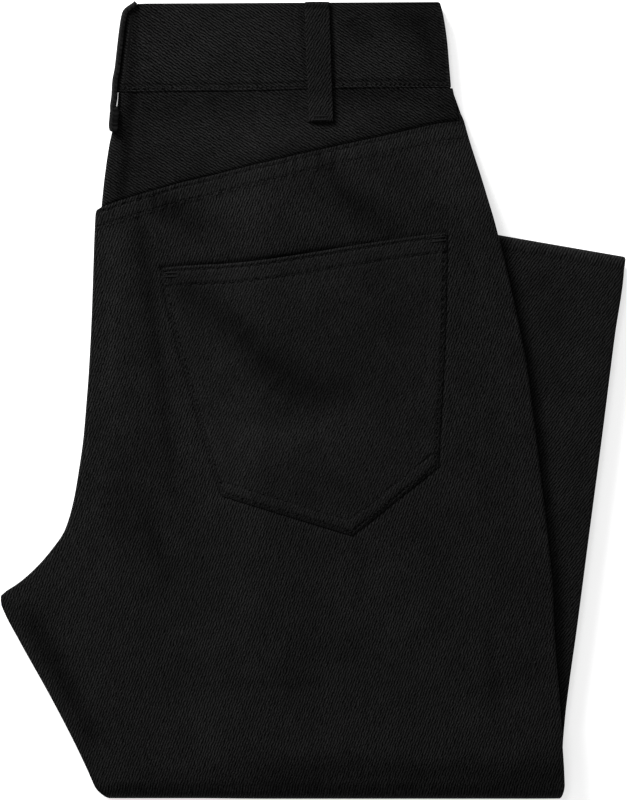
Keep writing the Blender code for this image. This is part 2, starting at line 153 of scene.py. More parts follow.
# Soft troughs (depth below 0) and ridges of the half that faces up, of the strip of lower leg beside it,
# and of the half that faces down
CREASES_UP = table(
    "x0 y0 x1 y1 width depth",
    [
        (5.0, 122.0, 22.0, 98.0, 6.0, -1.12), (22.0, 98.0, 46.0, 82.0, 8.0, -1.25),
        (-20.0, 108.0, 6.0, 84.0, 8.0, 0.20), (28.0, 121.0, 60.0, 112.0, 11.0, -0.73),
        (46.0, 104.0, 66.0, 92.0, 9.0, -0.33), (-68.0, 58.0, -38.0, 34.0, 9.0, -0.92),
        (-38.0, 34.0, -18.0, 12.0, 10.0, -1.25), (-18.0, 12.0, -2.0, 0.5, 11.0, -0.99),
        (-2.0, 0.5, 24.0, 6.0, 11.0, -0.73), (24.0, 26.0, 54.0, 44.0, 10.0, -0.46),
        (-44.0, -26.0, 26.0, -24.0, 15.0, 0.99), (-30.0, -22.0, 2.0, -22.0, 7.0, 0.33),
        (-6.0, 52.0, 14.0, 62.0, 9.0, 0.59), (-89.4, 91.6, -84.3, 56.6, 4.4, -0.92),
        (-84.3, 56.6, -79.5, 20.5, 4.0, -0.99), (-79.5, 20.5, -70.4, -51.7, 3.8, -0.79),
        (-88.0, 80.0, -78.0, -44.0, 10.0, -0.40), (-65.7, -0.1, -60.6, -36.2, 4.0, 0.40),
        (-99.7, 88.0, -104.0, -0.1, 6.0, 0.79), (-82.0, 106.0, -72.0, 90.0, 6.0, -1.06),
        (-70.0, 100.0, -58.0, 84.0, 6.0, -0.99), (-62.0, 94.0, -34.0, 80.0, 8.0, -0.46),
        (-53.3, 107.0, -27.6, 92.0, 8.0, 0.46), (-96.0, -28.0, -86.0, -70.0, 12.0, -0.53),
        (-86.0, -62.0, -72.0, -98.0, 6.0, -0.92), (-104.0, -44.0, -94.0, -74.0, 7.0, -0.53),
        (-90.5, -98.1, -83.2, -106.3, 5.0, -0.40), (-55.4, -148.6, 8.5, -146.0, 2.6, -0.40),
        (90.5, -118.7, 95.1, -160.9, 4.0, -0.53), (18.8, -130.0, 24.0, -138.3, 6.0, -0.53),
        (-50.0, -70.0, -40.0, -186.0, 12.0, -0.33), (37.4, -82.6, 45.6, -123.8, 11.0, 0.40),
        (-7.0, -113.5, -3.9, -154.8, 10.0, -0.33), (60.0, -62.0, 68.3, -103.2, 8.0, -0.33),
        (-147.0, -112.0, -124.0, -155.0, 6.0, -1.50), (-124.0, -155.0, -112.0, -180.0, 5.0, -1.10),
        (-154.0, -117.5, -122.0, -175.0, 2.2, 0.50), (-52.0, -193.0, 12.0, -190.5, 6.0, -0.23),
        (12.0, -190.5, 66.0, -193.5, 5.0, -0.33), (66.0, -193.5, 125.0, -197.5, 5.0, -0.36),
        (-84.3, -198.0, 5.4, -198.0, 3.4, -0.33), (80.7, 103.0, 119.8, -82.6, 5.0, 0.40),
        (-58.5, -165.1, -51.3, -190.8, 6.0, 0.40),
    ],
)
CREASES_STRIP = table(
    "x0 y0 x1 y1 width depth",
    [
        (96.0, 72.0, 158.0, 62.0, 4.0, 0.20), (120.0, 60.0, 116.0, 10.0, 9.0, -0.23),
        (142.0, 58.0, 138.0, -10.0, 8.0, 0.20), (126.0, 2.0, 130.0, -60.0, 9.0, 0.23),
        (141.0, -20.0, 134.0, -70.0, 5.0, -0.17), (128.0, -76.0, 127.0, -130.0, 6.0, -0.20),
    ],
)
CREASES_DOWN = table(
    "x0 y0 x1 y1 width depth",
    [
        (-148.0, -108.0, -112.0, -172.0, 6.0, -0.46), (-92.0, 70.0, -96.0, 10.0, 8.0, -0.33),
        (-86.0, 10.0, -74.0, -60.0, 7.0, 0.26), (-100.0, -30.0, -80.0, -120.0, 12.0, -0.26),
        (-64.0, 50.0, -34.0, 8.0, 11.0, -0.40), (20.0, 112.0, 52.0, 84.0, 12.0, -0.40),
        (44.0, -30.0, 62.0, -120.0, 14.0, 0.26), (96.0, -20.0, 104.0, -120.0, 9.0, -0.26),
        (20.0, 60.0, 52.0, -40.0, 16.0, 0.26), (60.0, -60.0, 76.0, -150.0, 10.0, -0.33),
        (4.0, 20.0, 16.0, -90.0, 9.0, -0.30), (120.0, 40.0, 112.0, -60.0, 12.0, 0.23),
    ],
)
CREASES_BODY = {1: CREASES_UP, -1: CREASES_DOWN}


def curve(rows, column, at, key="y"):
    """The column's value along a soft curve through the table's rows.

    Between two rows it is a cubic. Its slope at a row is the harmonic mean of the slopes on both sides,
    or level where they point opposite ways, so it never swings past a row.
    """
    order = np.argsort(rows[key])
    x = rows[key][order]
    y = rows[column][order]
    step = np.diff(x)
    rise = np.diff(y) / step
    both = rise[:-1] * rise[1:]
    total = np.where(both > 0, rise[:-1] + rise[1:], 1.0)
    slope = np.concatenate([rise[:1], np.where(both > 0, 2 * both / total, 0.0), rise[-1:]])
    cell = np.clip(np.searchsorted(x, at) - 1, 0, len(step) - 1)
    t = np.clip((at - x[cell]) / step[cell], 0.0, 1.0)
    ends = y[cell] * (1 + 2 * t) * (1 - t) ** 2 + y[cell + 1] * t**2 * (3 - 2 * t)
    return ends + step[cell] * (slope[cell] * t * (1 - t) ** 2 - slope[cell + 1] * t**2 * (1 - t))


def edge_points(rows, column, y):
    """Plan points of an upright edge: the column's value at each y, and that y."""
    return np.column_stack([curve(rows, column, y), y])


def line_points(rows, x):
    """Plan points of a level line: each x, and the table's y there."""
    return np.column_stack([x, curve(rows, "y", x, "x")])


def blend(first, last, share):
    """The value this share of the way from the first to the last."""
    return first + (last - first) * share


def soft(t):
    """An S-shaped step from 0 to 1: three t squared less two t cubed."""
    t = np.clip(t, 0.0, 1.0)
    return t * t * (3.0 - 2.0 * t)


def bell(distance, width):
    """1 at distance 0, fading as the exponential of minus the square of distance over width."""
    return np.exp(-((distance / width) ** 2))


def unit(vectors):
    """The same vectors, each divided by its length."""
    return vectors / np.linalg.norm(vectors, axis=1, keepdims=True)


upper_left = np.array([curve(SECOND_RUN, "left", UPPER_AXIS_LEFT_Y), UPPER_AXIS_LEFT_Y])
upper_right = np.array([curve(SECOND_RUN, "right", UPPER_AXIS_RIGHT_Y), UPPER_AXIS_RIGHT_Y])
fold_along = (upper_right - upper_left) / np.linalg.norm(upper_right - upper_left)
fold_out = np.array([-fold_along[1], fold_along[0]])


def past_upper_axis(x, y):
    """Plan distance past the upper fold's axis."""
    return (x - upper_left[0]) * fold_out[0] + (y - upper_left[1]) * fold_out[1]


def outside_second_run(x, y):
    """Plan distance outside the second run, past its inseam and past the upper fold. Past the inseam it
    counts less, since the body bridges further to its free edge there."""
    beside = curve(SECOND_RUN, "left", y) - x
    above = past_upper_axis(x, y) - PACK - UPPER_RADIUS
    return np.hypot(BRIDGE_SHARE * np.maximum(beside, 0.0), np.maximum(above, 0.0))


def outside_third_run(x, y):
    """Plan distance outside the third run: past its two seams, which are straight, and past its hem."""
    left, right = [
        blend(top[0], end[0], (top[1] - y) / (top[1] - end[1]))
        for top, end in ((upper_left, HEM_LEFT), (upper_right, HEM_RIGHT))
    ]
    beside = np.maximum(left - x, x - right)
    below = (HEM_LEFT[1] + HEM_RIGHT[1]) / 2 - y
    return np.hypot(np.maximum(beside, 0.0), np.maximum(below, 0.0))


def second_base(x, y):
    """Height of the second run's underside: it lies on the third run and falls to the table beyond it."""
    return (RUN + SPACE_LOWER) * (1 - soft((outside_third_run(x, y) - FALL_MARGIN) / FALL_LOWER))


def body_base(x, y):
    """Height of the body's underside: over the second run, settling towards it at the side seam, and
    falling towards the table beyond the second run's inseam and upper fold."""
    clear_of_fold = soft((y - BOTTOM_AXIS_Y) / SETTLING_LENGTH)
    near_side = soft(1 - (curve(BODY, "right", y) - x) / SETTLING_WIDTH)
    settled = (SETTLED + SETTLED_AT_SIDE * near_side) * clear_of_fold
    carried = second_base(x, y) + RUN + SPACE_UPPER - settled
    return blend(BODY_ON_TABLE, carried, 1 - soft((outside_second_run(x, y) - FALL_MARGIN) / FALL_UPPER))


# Colour painted darker in troughs and grooves as painted shade, and lighter on ridges as rubbed dye and
# painted light, by their height, within these limits
SHADE_AND_WEAR_PER_HEIGHT = 0.3
DARKEST_PAINTED_SHADE = -0.42
LIGHTEST_WEAR_AND_PAINTED_LIGHT = 0.3


def shade_and_wear_of(relief):
    """Share by which the colour is painted darker in a trough of this height, as painted shade, or lighter
    on a ridge, partly as rubbed dye and partly as painted light.
    """
    return np.clip(SHADE_AND_WEAR_PER_HEIGHT * relief, DARKEST_PAINTED_SHADE, LIGHTEST_WEAR_AND_PAINTED_LIGHT)


def creased(creases, x, y):
    """Height of the creases: each is its depth times a bell of the distance to its straight line, and
    fades to half at the line's two ends, with the sixth power of the distance from its middle."""
    x = np.asarray(x)[..., None]
    y = np.asarray(y)[..., None]
    run_x = creases["x1"] - creases["x0"]
    run_y = creases["y1"] - creases["y0"]
    share = (x - creases["x0"]) * run_x + (y - creases["y0"]) * run_y
    share = np.clip(share / (run_x**2 + run_y**2), 0.0, 1.0)
    away = np.hypot(x - creases["x0"] - share * run_x, y - creases["y0"] - share * run_y)
    fade = 1 - 0.5 * (2 * share - 1) ** 6
    return (creases["depth"] * fade * bell(away, creases["width"])).sum(-1)


# Lengths of the stretches of a leg, measured down from the yoke seam or along a run. The last share of
# the third run, beside the hem, has its rows closer together.
SEAM_TOP = SEAM_LEFT_Y - SEAM_GAP
SEAM_STRETCH = 13.0
SEAT_STRETCH = 180.0
BOW_STRETCH = 90.0
SECOND_LENGTH = 285.0
THIRD_LENGTH = 250.0
THIRD_PLAIN = 240.0
PLAIN_SHARE = 0.93
NO_HEM = 999.0
SEAM_STEPS = 27
BOTTOM_FOLD_STEPS = 16
UPPER_FOLD_STEPS = 13
HEM_STEPS = 18


def leg_rows(seat_step, thigh_step, second_step, third_step):
    """The rows across a leg, from the yoke seam to the hem, with their two ends in plan.

    Run 0 is the body, 1 the bottom fold, 2 the second run, 3 the upper fold and 4 the third run. In a
    fold the ends lie on its axis, and the angle goes from 0 to half a turn. The bottom fold's ends draw
    in by the square of the angle's sine.
    """
    length = SEAM_TOP - BOTTOM_AXIS_Y
    seam = np.linspace(0.0, SEAM_STRETCH, SEAM_STEPS)
    seat = np.linspace(SEAM_STRETCH, SEAT_STRETCH, round((SEAT_STRETCH - SEAM_STRETCH) / seat_step))[1:]
    thigh = np.linspace(SEAT_STRETCH, length, round((length - SEAT_STRETCH) / thigh_step))[1:]
    left_y = SEAM_TOP - np.concatenate([seam, seat, thigh])
    right_y = curve(ROW_FAN, "right", left_y) - SEAM_GAP
    turn = np.linspace(0.0, math.pi, BOTTOM_FOLD_STEPS)[1:-1]
    share = np.linspace(0.0, 1.0, round(SECOND_LENGTH / second_step))
    upper_turn = np.linspace(0.0, math.pi, UPPER_FOLD_STEPS)[1:-1]
    plain = np.linspace(0.0, PLAIN_SHARE, round(THIRD_PLAIN / third_step))
    flat = np.concatenate([plain, np.linspace(PLAIN_SHARE + 0.005, 1.0, HEM_STEPS)])
    counts = [len(part) for part in (left_y, turn, share, upper_turn, flat)]
    below = np.ones(sum(counts[1:]))
    rows = {
        "run": np.repeat(np.arange(5), counts),
        "angle": np.concatenate([0 * left_y, turn, 0 * share, upper_turn, 0 * flat]),
        "seam": np.concatenate([1 - soft((SEAM_TOP - left_y) / BOW_STRETCH), 0 * below]),
        "inseam": np.concatenate([soft((CROTCH_Y + CROTCH_SPAN / 2 - left_y) / CROTCH_SPAN), below]),
        "hem": np.concatenate([np.full(sum(counts[:4]), NO_HEM), (1 - flat) * THIRD_LENGTH]),
    }
    ends = (("left", left_y, upper_left, HEM_LEFT), ("right", right_y, upper_right, HEM_RIGHT))
    for column, y, axis_end, hem_end in ends:
        body = edge_points(BODY, column, y)
        fold_x = blend(body[-1, 0], curve(SECOND_RUN, column, BOTTOM_AXIS_Y), turn / math.pi)
        fold_x = fold_x + FOLD_ROUNDING[column] * np.sin(turn) ** 2
        fold = np.column_stack([fold_x, 0 * turn + BOTTOM_AXIS_Y])
        second = edge_points(SECOND_RUN, column, blend(BOTTOM_AXIS_Y, axis_end[1], share))
        upper = np.tile(axis_end, (len(upper_turn), 1))
        third = blend(axis_end, hem_end, flat[:, None])
        rows[column] = np.concatenate([body, fold, second, upper, third])
    return rows


CURL_STEPS = 9
BESIDE_LEFT_CURL = np.array([0.5, 1.1, 1.9, 3.0, 4.4, 6.0])
BESIDE_RIGHT_CURL = np.array([4.0, 2.4, 1.2, 0.5])
FROM_LEFT_CURL = 8.0
FROM_RIGHT_CURL = 5.5


def columns(rows, curl_left, between):
    """Distance of each column along its row, its drop down the curled edge, and the slope of the cloth.

    The columns stand closer together in the third of the row that the pocket's left edge crosses. An edge
    is a quarter round: at angle a from the edge the distance is the radius times one less the cosine, and
    the drop the radius times one less the sine. The slope is a there, and a quarter turn on the flat. The
    side is 1 at the left curl, -1 at the right curl and 0 between. curl_left is the left radius above the
    crotch. Along the inseam it is that of a seam.
    """
    arc = np.linspace(0.0, math.pi / 2, CURL_STEPS)
    left = blend(curl_left, CURL_SEAM, rows["inseam"][:, None])
    wide = np.linalg.norm(rows["right"] - rows["left"], axis=1, keepdims=True)
    right = np.full_like(wide, CURL_SEAM)
    share = np.interp(np.linspace(0.0, 1.0, between), [0.0, 0.1, 0.38, 1.0], [0.0, 0.12, 0.34, 1.0])
    start = left + FROM_LEFT_CURL
    middle = start + (wide - right - FROM_RIGHT_CURL - start) * share
    flat = [left + BESIDE_LEFT_CURL, middle, wide - right - BESIDE_RIGHT_CURL]
    along = [left * (1 - np.cos(arc)), *flat, wide - right * (1 - np.cos(arc[::-1]))]
    count = between + len(BESIDE_LEFT_CURL) + len(BESIDE_RIGHT_CURL)
    drop = [left * (1 - np.sin(arc)), np.zeros((len(wide), count)), right * (1 - np.sin(arc[::-1]))]
    slope = np.concatenate([arc, np.full(count, math.pi / 2), arc[::-1]])
    side = np.repeat([1.0, 0.0, -1.0], [CURL_STEPS, count, CURL_STEPS])
    return np.concatenate(along, axis=1), np.concatenate(drop, axis=1), slope, side


def across(rows, along, bow):
    """Plan points at these distances along the rows, each row bowed as the yoke seam is at its top."""
    direction = unit(rows["right"] - rows["left"])
    plan = rows["left"][:, None, :] + direction[:, None, :] * along[:, :, None]
    plan[:, :, 1] += bow * rows["seam"][:, None]
    return plan


def seam_bow(rows, along):
    """How far the yoke seam stands over the straight line between its ends, at these places of the rows."""
    x = across(rows, along, 0.0)[:, :, 0]
    first, last = YOKE_SEAM[1], YOKE_SEAM[-1]
    share = (x - first["x"]) / (last["x"] - first["x"])
    return curve(YOKE_SEAM, "y", x, "x") - first["y"] - (last["y"] - first["y"]) * share


def place(rows, plan, ply):
    """Points in space of plan points at a height in the pack, from +3 on the right back's outer side.

    In the body and the third run the height points up, in the second run down. Round a fold the point
    turns about the fold's axis at the pack's radius plus or less the height.
    """
    x, y = np.moveaxis(plan, 2, 0)
    sine = np.sin(rows["angle"])[:, None]
    cosine = np.cos(rows["angle"])[:, None]
    second = second_base(x, y) + PACK
    third = PACK + HEM_REST
    bottom = BOTTOM_RADIUS + ply
    upper = UPPER_RADIUS - ply
    upper_x = x + fold_out[0] * upper * sine
    upper_y = y + fold_out[1] * upper * sine
    shapes = [
        (x, y, body_base(x, y) + PACK + ply),
        (x, y - bottom * sine, second + BOTTOM_RADIUS + bottom * cosine),
        (x, y, second - ply),
        (upper_x, upper_y, third + UPPER_RADIUS + upper * cosine),
        (x, y, third + ply),
    ]
    run = np.broadcast_to(rows["run"][:, None, None], (*x.shape, 3))
    return np.select([run == i for i in range(5)], [np.stack(shape, -1) for shape in shapes])


def two_faces(rows, plan_at, along, slope, edge, level, through):
    """The outer face of a ply, at this level in the pack, and its inner face, the cloth's thickness away.

    plan_at gives plan points at distances along the rows. Through the cloth a point moves by the sine of
    the slope up (through 1) or down (-1), and at a curled edge by its cosine along the row.
    """
    outer = place(rows, plan_at(along), level)
    inner_plan = plan_at(along + edge * np.cos(slope) * PANEL_CLOTH)
    return outer, place(rows, inner_plan, level + through * np.sin(slope) * PANEL_CLOTH)


def on_grain(x, y, side, warp):
    """Cloth coordinates seen from outside: the place across the warp, and along it, at this angle."""
    across_warp = side * (x * math.sin(warp) - y * math.cos(warp))
    return np.stack([across_warp, x * math.cos(warp) + y * math.sin(warp)], -1)


def cloth_map(rows, plan, side):
    """Where each point lies on the unfolded cloth: across its warp, and along it, seen from outside.

    The second run is the body's plane mirrored in the bottom fold, and the third run is that one
    mirrored again in the upper fold, each moved on by the length round the fold.
    """
    x, y = np.moveaxis(plan, 2, 0)
    run = rows["run"][:, None]
    angle = rows["angle"][:, None]
    onward = np.where(run == 4, math.pi * UPPER_RADIUS - 2 * past_upper_axis(x, y), UPPER_RADIUS * angle)
    onward = onward * (run >= 3)
    x = x + fold_out[0] * onward
    y = y + fold_out[1] * onward
    folded = 2 * BOTTOM_AXIS_Y - math.pi * BOTTOM_RADIUS - y
    y = np.select([run == 0, run == 1], [y, BOTTOM_AXIS_Y - BOTTOM_RADIUS * angle], folded)
    return on_grain(x, y, side, GRAIN[side])


SHARP_ANGLE = math.radians(50.0)


def new_piece(name, points, faces, cloth, painted_shade_and_wear):
    """An object made of points in millimetres, a list of faces, and the points' cloth coordinates and
    the shade and light painted on their colour, shaded smooth."""
    mesh = bpy.data.meshes.new(name)
    mesh.from_pydata((points * MM).tolist(), [], faces)
    # This attribute carries the painted shade of troughs and grooves and the painted light of ridges
    shade_and_wear = mesh.attributes.new("shade_and_wear", "FLOAT", "POINT")
    shade_and_wear.data.foreach_set("value", painted_shade_and_wear.astype(np.float32))
    layer = mesh.uv_layers.new(name="cloth")
    corner = np.empty(len(mesh.loops), np.int32)
    mesh.loops.foreach_get("vertex_index", corner)
    layer.data.foreach_set("uv", cloth[corner].astype(np.float32).ravel())
    mesh.shade_smooth()
    mesh.set_sharp_from_angle(angle=SHARP_ANGLE)
    mesh.update()
    piece = bpy.data.objects.new(name, mesh)
    bpy.context.scene.collection.objects.link(piece)
    return piece


def shell(name, outer, inner, cloth, painted_shade_and_wear, turned=False):
    """A closed piece of cloth: the grid of its outer face, every third line of that of its inner face, and
    a rim between them. The fifth argument is how much lighter or darker the colour is painted at each
    point: painted shade in troughs and grooves, rubbed dye and painted light on ridges.

    Each cell of a grid is a quad, and each part of the rim a face with one side on the inner grid and
    three on the outer one. The cloth coordinates go into the UV map named cloth, in millimetres.
    """
    count, across_count = outer.shape[:2]
    index = np.arange(count * across_count).reshape(count, across_count)
    down = np.append(np.arange(0, count - 1, 3), count - 1)
    along = np.append(np.arange(0, across_count - 1, 3), across_count - 1)
    under = index.size + np.arange(len(down) * len(along)).reshape(len(down), len(along))
    faces = np.stack([index[:-1, :-1], index[1:, :-1], index[1:, 1:], index[:-1, 1:]], -1)
    inside = np.stack([under[:-1, :-1], under[:-1, 1:], under[1:, 1:], under[1:, :-1]], -1)
    faces = faces.reshape(-1, 4).tolist() + inside.reshape(-1, 4).tolist()
    rims = [
        (index[0], under[0], along, 1),
        (index[-1], under[-1], along, -1),
        (index[:, 0], under[:, 0], down, -1),
        (index[:, -1], under[:, -1], down, 1),
    ]
    for edge, inner_edge, kept, way in rims:
        parts = zip(kept[:-1], kept[1:], inner_edge[:-1].tolist(), inner_edge[1:].tolist())
        faces += [(edge[a : b + 1].tolist() + [after, before])[::way] for a, b, before, after in parts]
    if turned:
        faces = [face[::-1] for face in faces]
    points = np.concatenate([outer.reshape(-1, 3), inner[down][:, along].reshape(-1, 3)])
    cloth = np.concatenate([cloth.reshape(-1, 2), cloth[down][:, along].reshape(-1, 2)])
    painted_shade_and_wear = np.concatenate([painted_shade_and_wear.ravel(), painted_shade_and_wear[down][:, along].ravel()])
    return new_piece(name, points, faces, cloth, painted_shade_and_wear)


def new_material(name):
    """A material with its node tree and its shader."""
    material = bpy.data.materials.new(name)
    material.use_nodes = True
    return material, material.node_tree, material.node_tree.nodes["Principled BSDF"]


def set_inputs(node, values):
    """Sets the node's inputs by name."""
    for name, value in values.items():
        node.inputs[name].default_value = value


def grey(level):
    """A neutral colour of this brightness."""
    return (level, level, level, 1.0)


# The pitch of the yarns, the slant and pitch of the ribs they form, and the finish of the dyed cotton
WARP_PITCH = 0.392
WEFT_PITCH = 0.615
RIB_ANGLE = math.atan2(WARP_PITCH, WEFT_PITCH)
RIB_PITCH = 4 * WARP_PITCH * math.cos(RIB_ANGLE)
UNEVEN = 1.1
DASH_LENGTH = 3.0
SLUB_LENGTH = 7.0
DENIM_BLACK = 0.0004
DENIM_LIT = 0.0215
DENIM_ROUGHNESS = 0.5
DENIM_SPECULAR = 0.004
DENIM_SHEEN = 0.012
YARN_RELIEF = 0.16


def twill(name, tone, contrast=1.0):
    """Black three-to-one right-hand twill, on the UV map that holds cloth coordinates in millimetres.

    A warp yarn floats over three wefts and dives under one, and each yarn starts one weft further on, so
    the floats line up as ribs. Rib: half less half the cosine of the place in the repeat. Yarn: one less
    the square of the place across the yarn. Broken dashes along the ribs, slubs along the warp and broad
    mottling vary the tone. The attribute stored on the mesh paints it darker in troughs and grooves as
    painted shade, and lighter on ridges as rubbed dye and painted light.
    """
    material, tree, shader = new_material(name)

    def calculation(operation):
        """A function that adds a math node of this kind and gives its result."""

        def add(first, second=0.0):
            node = tree.nodes.new("ShaderNodeMath")
            node.operation = operation
            for socket, value in zip(node.inputs, (first, second)):
                if isinstance(value, float):
                    socket.default_value = value
                else:
                    tree.links.new(value, socket)
            return node.outputs[0]

        return add

    operations = ("ADD", "SUBTRACT", "MULTIPLY", "DIVIDE", "FLOOR", "FRACT", "COSINE", "SQRT", "MAXIMUM")
    plus, minus, times, divided, whole, fraction, cosine, root, larger = map(calculation, operations)

    def vector_of(x, y):
        """The vector with these two parts."""
        node = tree.nodes.new("ShaderNodeCombineXYZ")
        for socket, value in zip(node.inputs, (x, y)):
            tree.links.new(value, socket)
        return node.outputs[0]

    def noise_of(vector, scale, detail):
        """Smooth noise, mostly between 0.28 and 0.72."""
        node = tree.nodes.new("ShaderNodeTexNoise")
        set_inputs(node, {"Scale": scale, "Detail": detail})
        tree.links.new(vector, node.inputs["Vector"])
        return node.outputs["Fac"]

    def spread(value, low, high):
        """The noise stretched to run from low to high."""
        node = tree.nodes.new("ShaderNodeMapRange")
        set_inputs(node, {"From Min": 0.28, "From Max": 0.72, "To Min": low, "To Max": high})
        tree.links.new(value, node.inputs["Value"])
        return node.outputs["Result"]

    where = tree.nodes.new("ShaderNodeUVMap")
    where.uv_map = "cloth"
    cloth = where.outputs["UV"]
    split = tree.nodes.new("ShaderNodeSeparateXYZ")
    tree.links.new(cloth, split.inputs[0])
    u = split.outputs["X"]
    v = split.outputs["Y"]
    warp = divided(u, WARP_PITCH)
    yarn_number = whole(warp)
    weft = divided(v, WEFT_PITCH)
    shifted = times(minus(noise_of(cloth, 0.42, 2.0), 0.5), UNEVEN)
    repeat = plus(divided(minus(weft, yarn_number), 4.0), shifted)
    rib = minus(0.5, times(cosine(times(repeat, math.tau)), 0.5))
    place_in_yarn = minus(times(fraction(warp), 2.0), 1.0)
    yarn = minus(1.0, times(place_in_yarn, place_in_yarn))

    over = minus(times(u, math.cos(RIB_ANGLE) / RIB_PITCH), times(v, math.sin(RIB_ANGLE) / RIB_PITCH))
    down = plus(times(u, math.sin(RIB_ANGLE)), times(v, math.cos(RIB_ANGLE)))
    dash = spread(noise_of(vector_of(over, divided(down, DASH_LENGTH)), 1.3, 2.0), 0.0, 1.0)
    speck = spread(noise_of(cloth, 1.35, 0.0), 0.7, 1.3)
    slub = noise_of(vector_of(times(yarn_number, 0.7), divided(v, SLUB_LENGTH)), 1.0, 0.0)
    mottle = noise_of(cloth, 0.06, 3.0)

    depth = plus(0.14 * contrast, times(dash, 1.5 * contrast))
    swing = times(minus(times(rib, 2.0), 1.0), depth)
    light = times(plus(1.0, swing), plus(0.25, times(yarn, 0.15)))
    for variation in (spread(slub, 0.82, 1.18), speck, spread(mottle, 0.87, 1.13)):
        light = times(light, variation)
    # The mesh attribute paints shade into troughs and grooves and light onto ridges
    shade_and_wear = tree.nodes.new("ShaderNodeAttribute")
    shade_and_wear.attribute_name = "shade_and_wear"
    shade = plus(shade_and_wear.outputs["Fac"], 1.0)
    colour = tree.nodes.new("ShaderNodeMix")
    colour.data_type = "RGBA"
    set_inputs(colour, {"A": grey(DENIM_BLACK), "B": grey(DENIM_LIT)})
    tree.links.new(times(times(light, shade), tone), colour.inputs["Factor"])
    tree.links.new(colour.outputs["Result"], shader.inputs["Base Color"])

    relief = times(root(larger(rib, 0.0001)), plus(0.5, times(yarn, 0.5)))
    bump = tree.nodes.new("ShaderNodeBump")
    set_inputs(bump, {"Strength": 0.8, "Distance": YARN_RELIEF * MM})
    tree.links.new(times(relief, spread(dash, 0.6, 1.2)), bump.inputs["Height"])
    tree.links.new(bump.outputs["Normal"], shader.inputs["Normal"])
    set_inputs(shader, {"Roughness": DENIM_ROUGHNESS, "Specular IOR Level": DENIM_SPECULAR})
    set_inputs(shader, {"Sheen Weight": DENIM_SHEEN})
    return material


# Stitches, and the puckers that stand two stitches apart beside them
STITCH_PITCH = 2.45
PUCKER = 2 * STITCH_PITCH


def pucker(along, period=PUCKER):
    """An uneven ripple along a seam: a sine whose phase drifts, times another that comes and goes."""
    drift = 1.9 * np.sin(along / 13.0) + 1.1 * np.sin(along / 5.1 + 2.0)
    strength = 0.6 + 0.4 * np.sin(along / 17.0 + 1.0)
    return np.sin(math.tau * along / period + drift) * strength


# The back pocket's outline, along which its stitching draws the panel in
POCKET_MOUTH = table(
    "x y",
    [
        (-78.6, 68.1), (-60.6, 69.5), (-48.2, 70.0), (-35.8, 70.9), (-23.5, 72.3), (-11.1, 74.1),
        (0.8, 76.0), (13.1, 78.1), (25.5, 80.1), (37.9, 82.0), (49.7, 83.8), (68.8, 86.0),
    ],
)
POCKET_LEFT = table(
    "x y",
    [
        (-78.6, 68.1), (-77.7, 60.0), (-72.6, 36.9), (-66.2, 14.0), (-59.3, -9.5), (-52.6, -33.0),
        (-47.4, -49.3),
    ],
)
POCKET_RIGHT = table("x y", [(68.8, 86.0), (67.9, 43.2), (66.3, 6.1), (64.0, -34.6)])
POCKET_TIP = (20.0, -69.8)
POCKET_DENT = 0.6
MOUTH_DENT = 1.2
MOUTH_HOLLOW = 0.8
MOUTH_LOOSE_X = -22.0
MOUTH_LOOSE_WIDTH = 48.0
FULLNESS = {1: 0.9, -1: 0.3}
FULLNESS_WIDTH = 14.0

# Rows of stitching below the yoke seam, how the lapped seam stands over the yoke, and the hem's row. A
# distance measured down the picture counts less across the seam, by the cosine of its slant.
SEAM_ROWS = (2.4, 9.3)
SEAM_LAP = 9.6
SEAM_RISE = 0.5
SEAM_COSINE = 0.97
ROW_GROOVE = 0.5
HEM_ROW = 11.0
HEM_RISE = 0.3
FELL_EDGE = 2.0
FELL_GROOVE = 0.6


def seam_relief(x, y):
    """Height of the lapped yoke seam on the panel, with a groove at each stitch row and puckers.

    The cloth is pressed down where a stitch ends, so each groove's depth swings with the stitch pitch.
    """
    down = (curve(YOKE_SEAM, "y", x, "x") - y) * SEAM_COSINE
    uneven = 0.5 * pucker(x, 7.3) + 0.25 * pucker(x + 50.0, 23.0)
    lap = SEAM_RISE * (1 + uneven) * (1 - soft((down - SEAM_LAP - uneven) / 1.6)) - 0.3 * bell(down, 0.4)
    ripple = sum(0.2 * pucker(x + 9.0 * row) * bell(down - row, 2.4) for row in SEAM_ROWS)
    groove = sum(bell(down - row, 0.5) * (1 + 0.8 * pucker(x + 5.0 * row)) for row in SEAM_ROWS)
    return lap + ripple - ROW_GROOVE * groove


def pocket_side(rows, share):
    """Plan points down one side of the pocket, at these shares of its height."""
    return edge_points(rows, "x", blend(rows["y"][0], rows["y"][-1], share))


def pocket_outline(count):
    """Plan points round the pocket: down its left side, round the point, up the right side, and back."""
    share = np.linspace(0.0, 1.0, count)
    left = pocket_side(POCKET_LEFT, share)
    right = pocket_side(POCKET_RIGHT, share[::-1])
    mouth = line_points(POCKET_MOUTH, blend(POCKET_MOUTH["x"][-1], POCKET_MOUTH["x"][0], share))
    return left, np.array([left[-1], POCKET_TIP, right[0]]), right, mouth


def distance_to(path, x, y):
    """Shortest plan distance to a path of straight stretches."""
    start = path[:-1]
    run = path[1:] - start
    to_x = np.asarray(x)[..., None] - start[:, 0]
    to_y = np.asarray(y)[..., None] - start[:, 1]
    share = np.clip((to_x * run[:, 0] + to_y * run[:, 1]) / (run**2).sum(1), 0.0, 1.0)
    return np.hypot(to_x - share * run[:, 0], to_y - share * run[:, 1]).min(-1)


def body_fullness(x, y, side):
    """Height by which the body swells between its two side edges."""
    inside = np.minimum(x - curve(BODY, "left", y), curve(BODY, "right", y) - x)
    return FULLNESS[side] * (1 - bell(np.maximum(inside, 0.0), FULLNESS_WIDTH))


def panel_relief(x, y, side):
    """Height that fullness, creases and the yoke seam add to the body of a back panel."""
    return body_fullness(x, y, side) + creased(CREASES_BODY[side], x, y) + seam_relief(x, y)


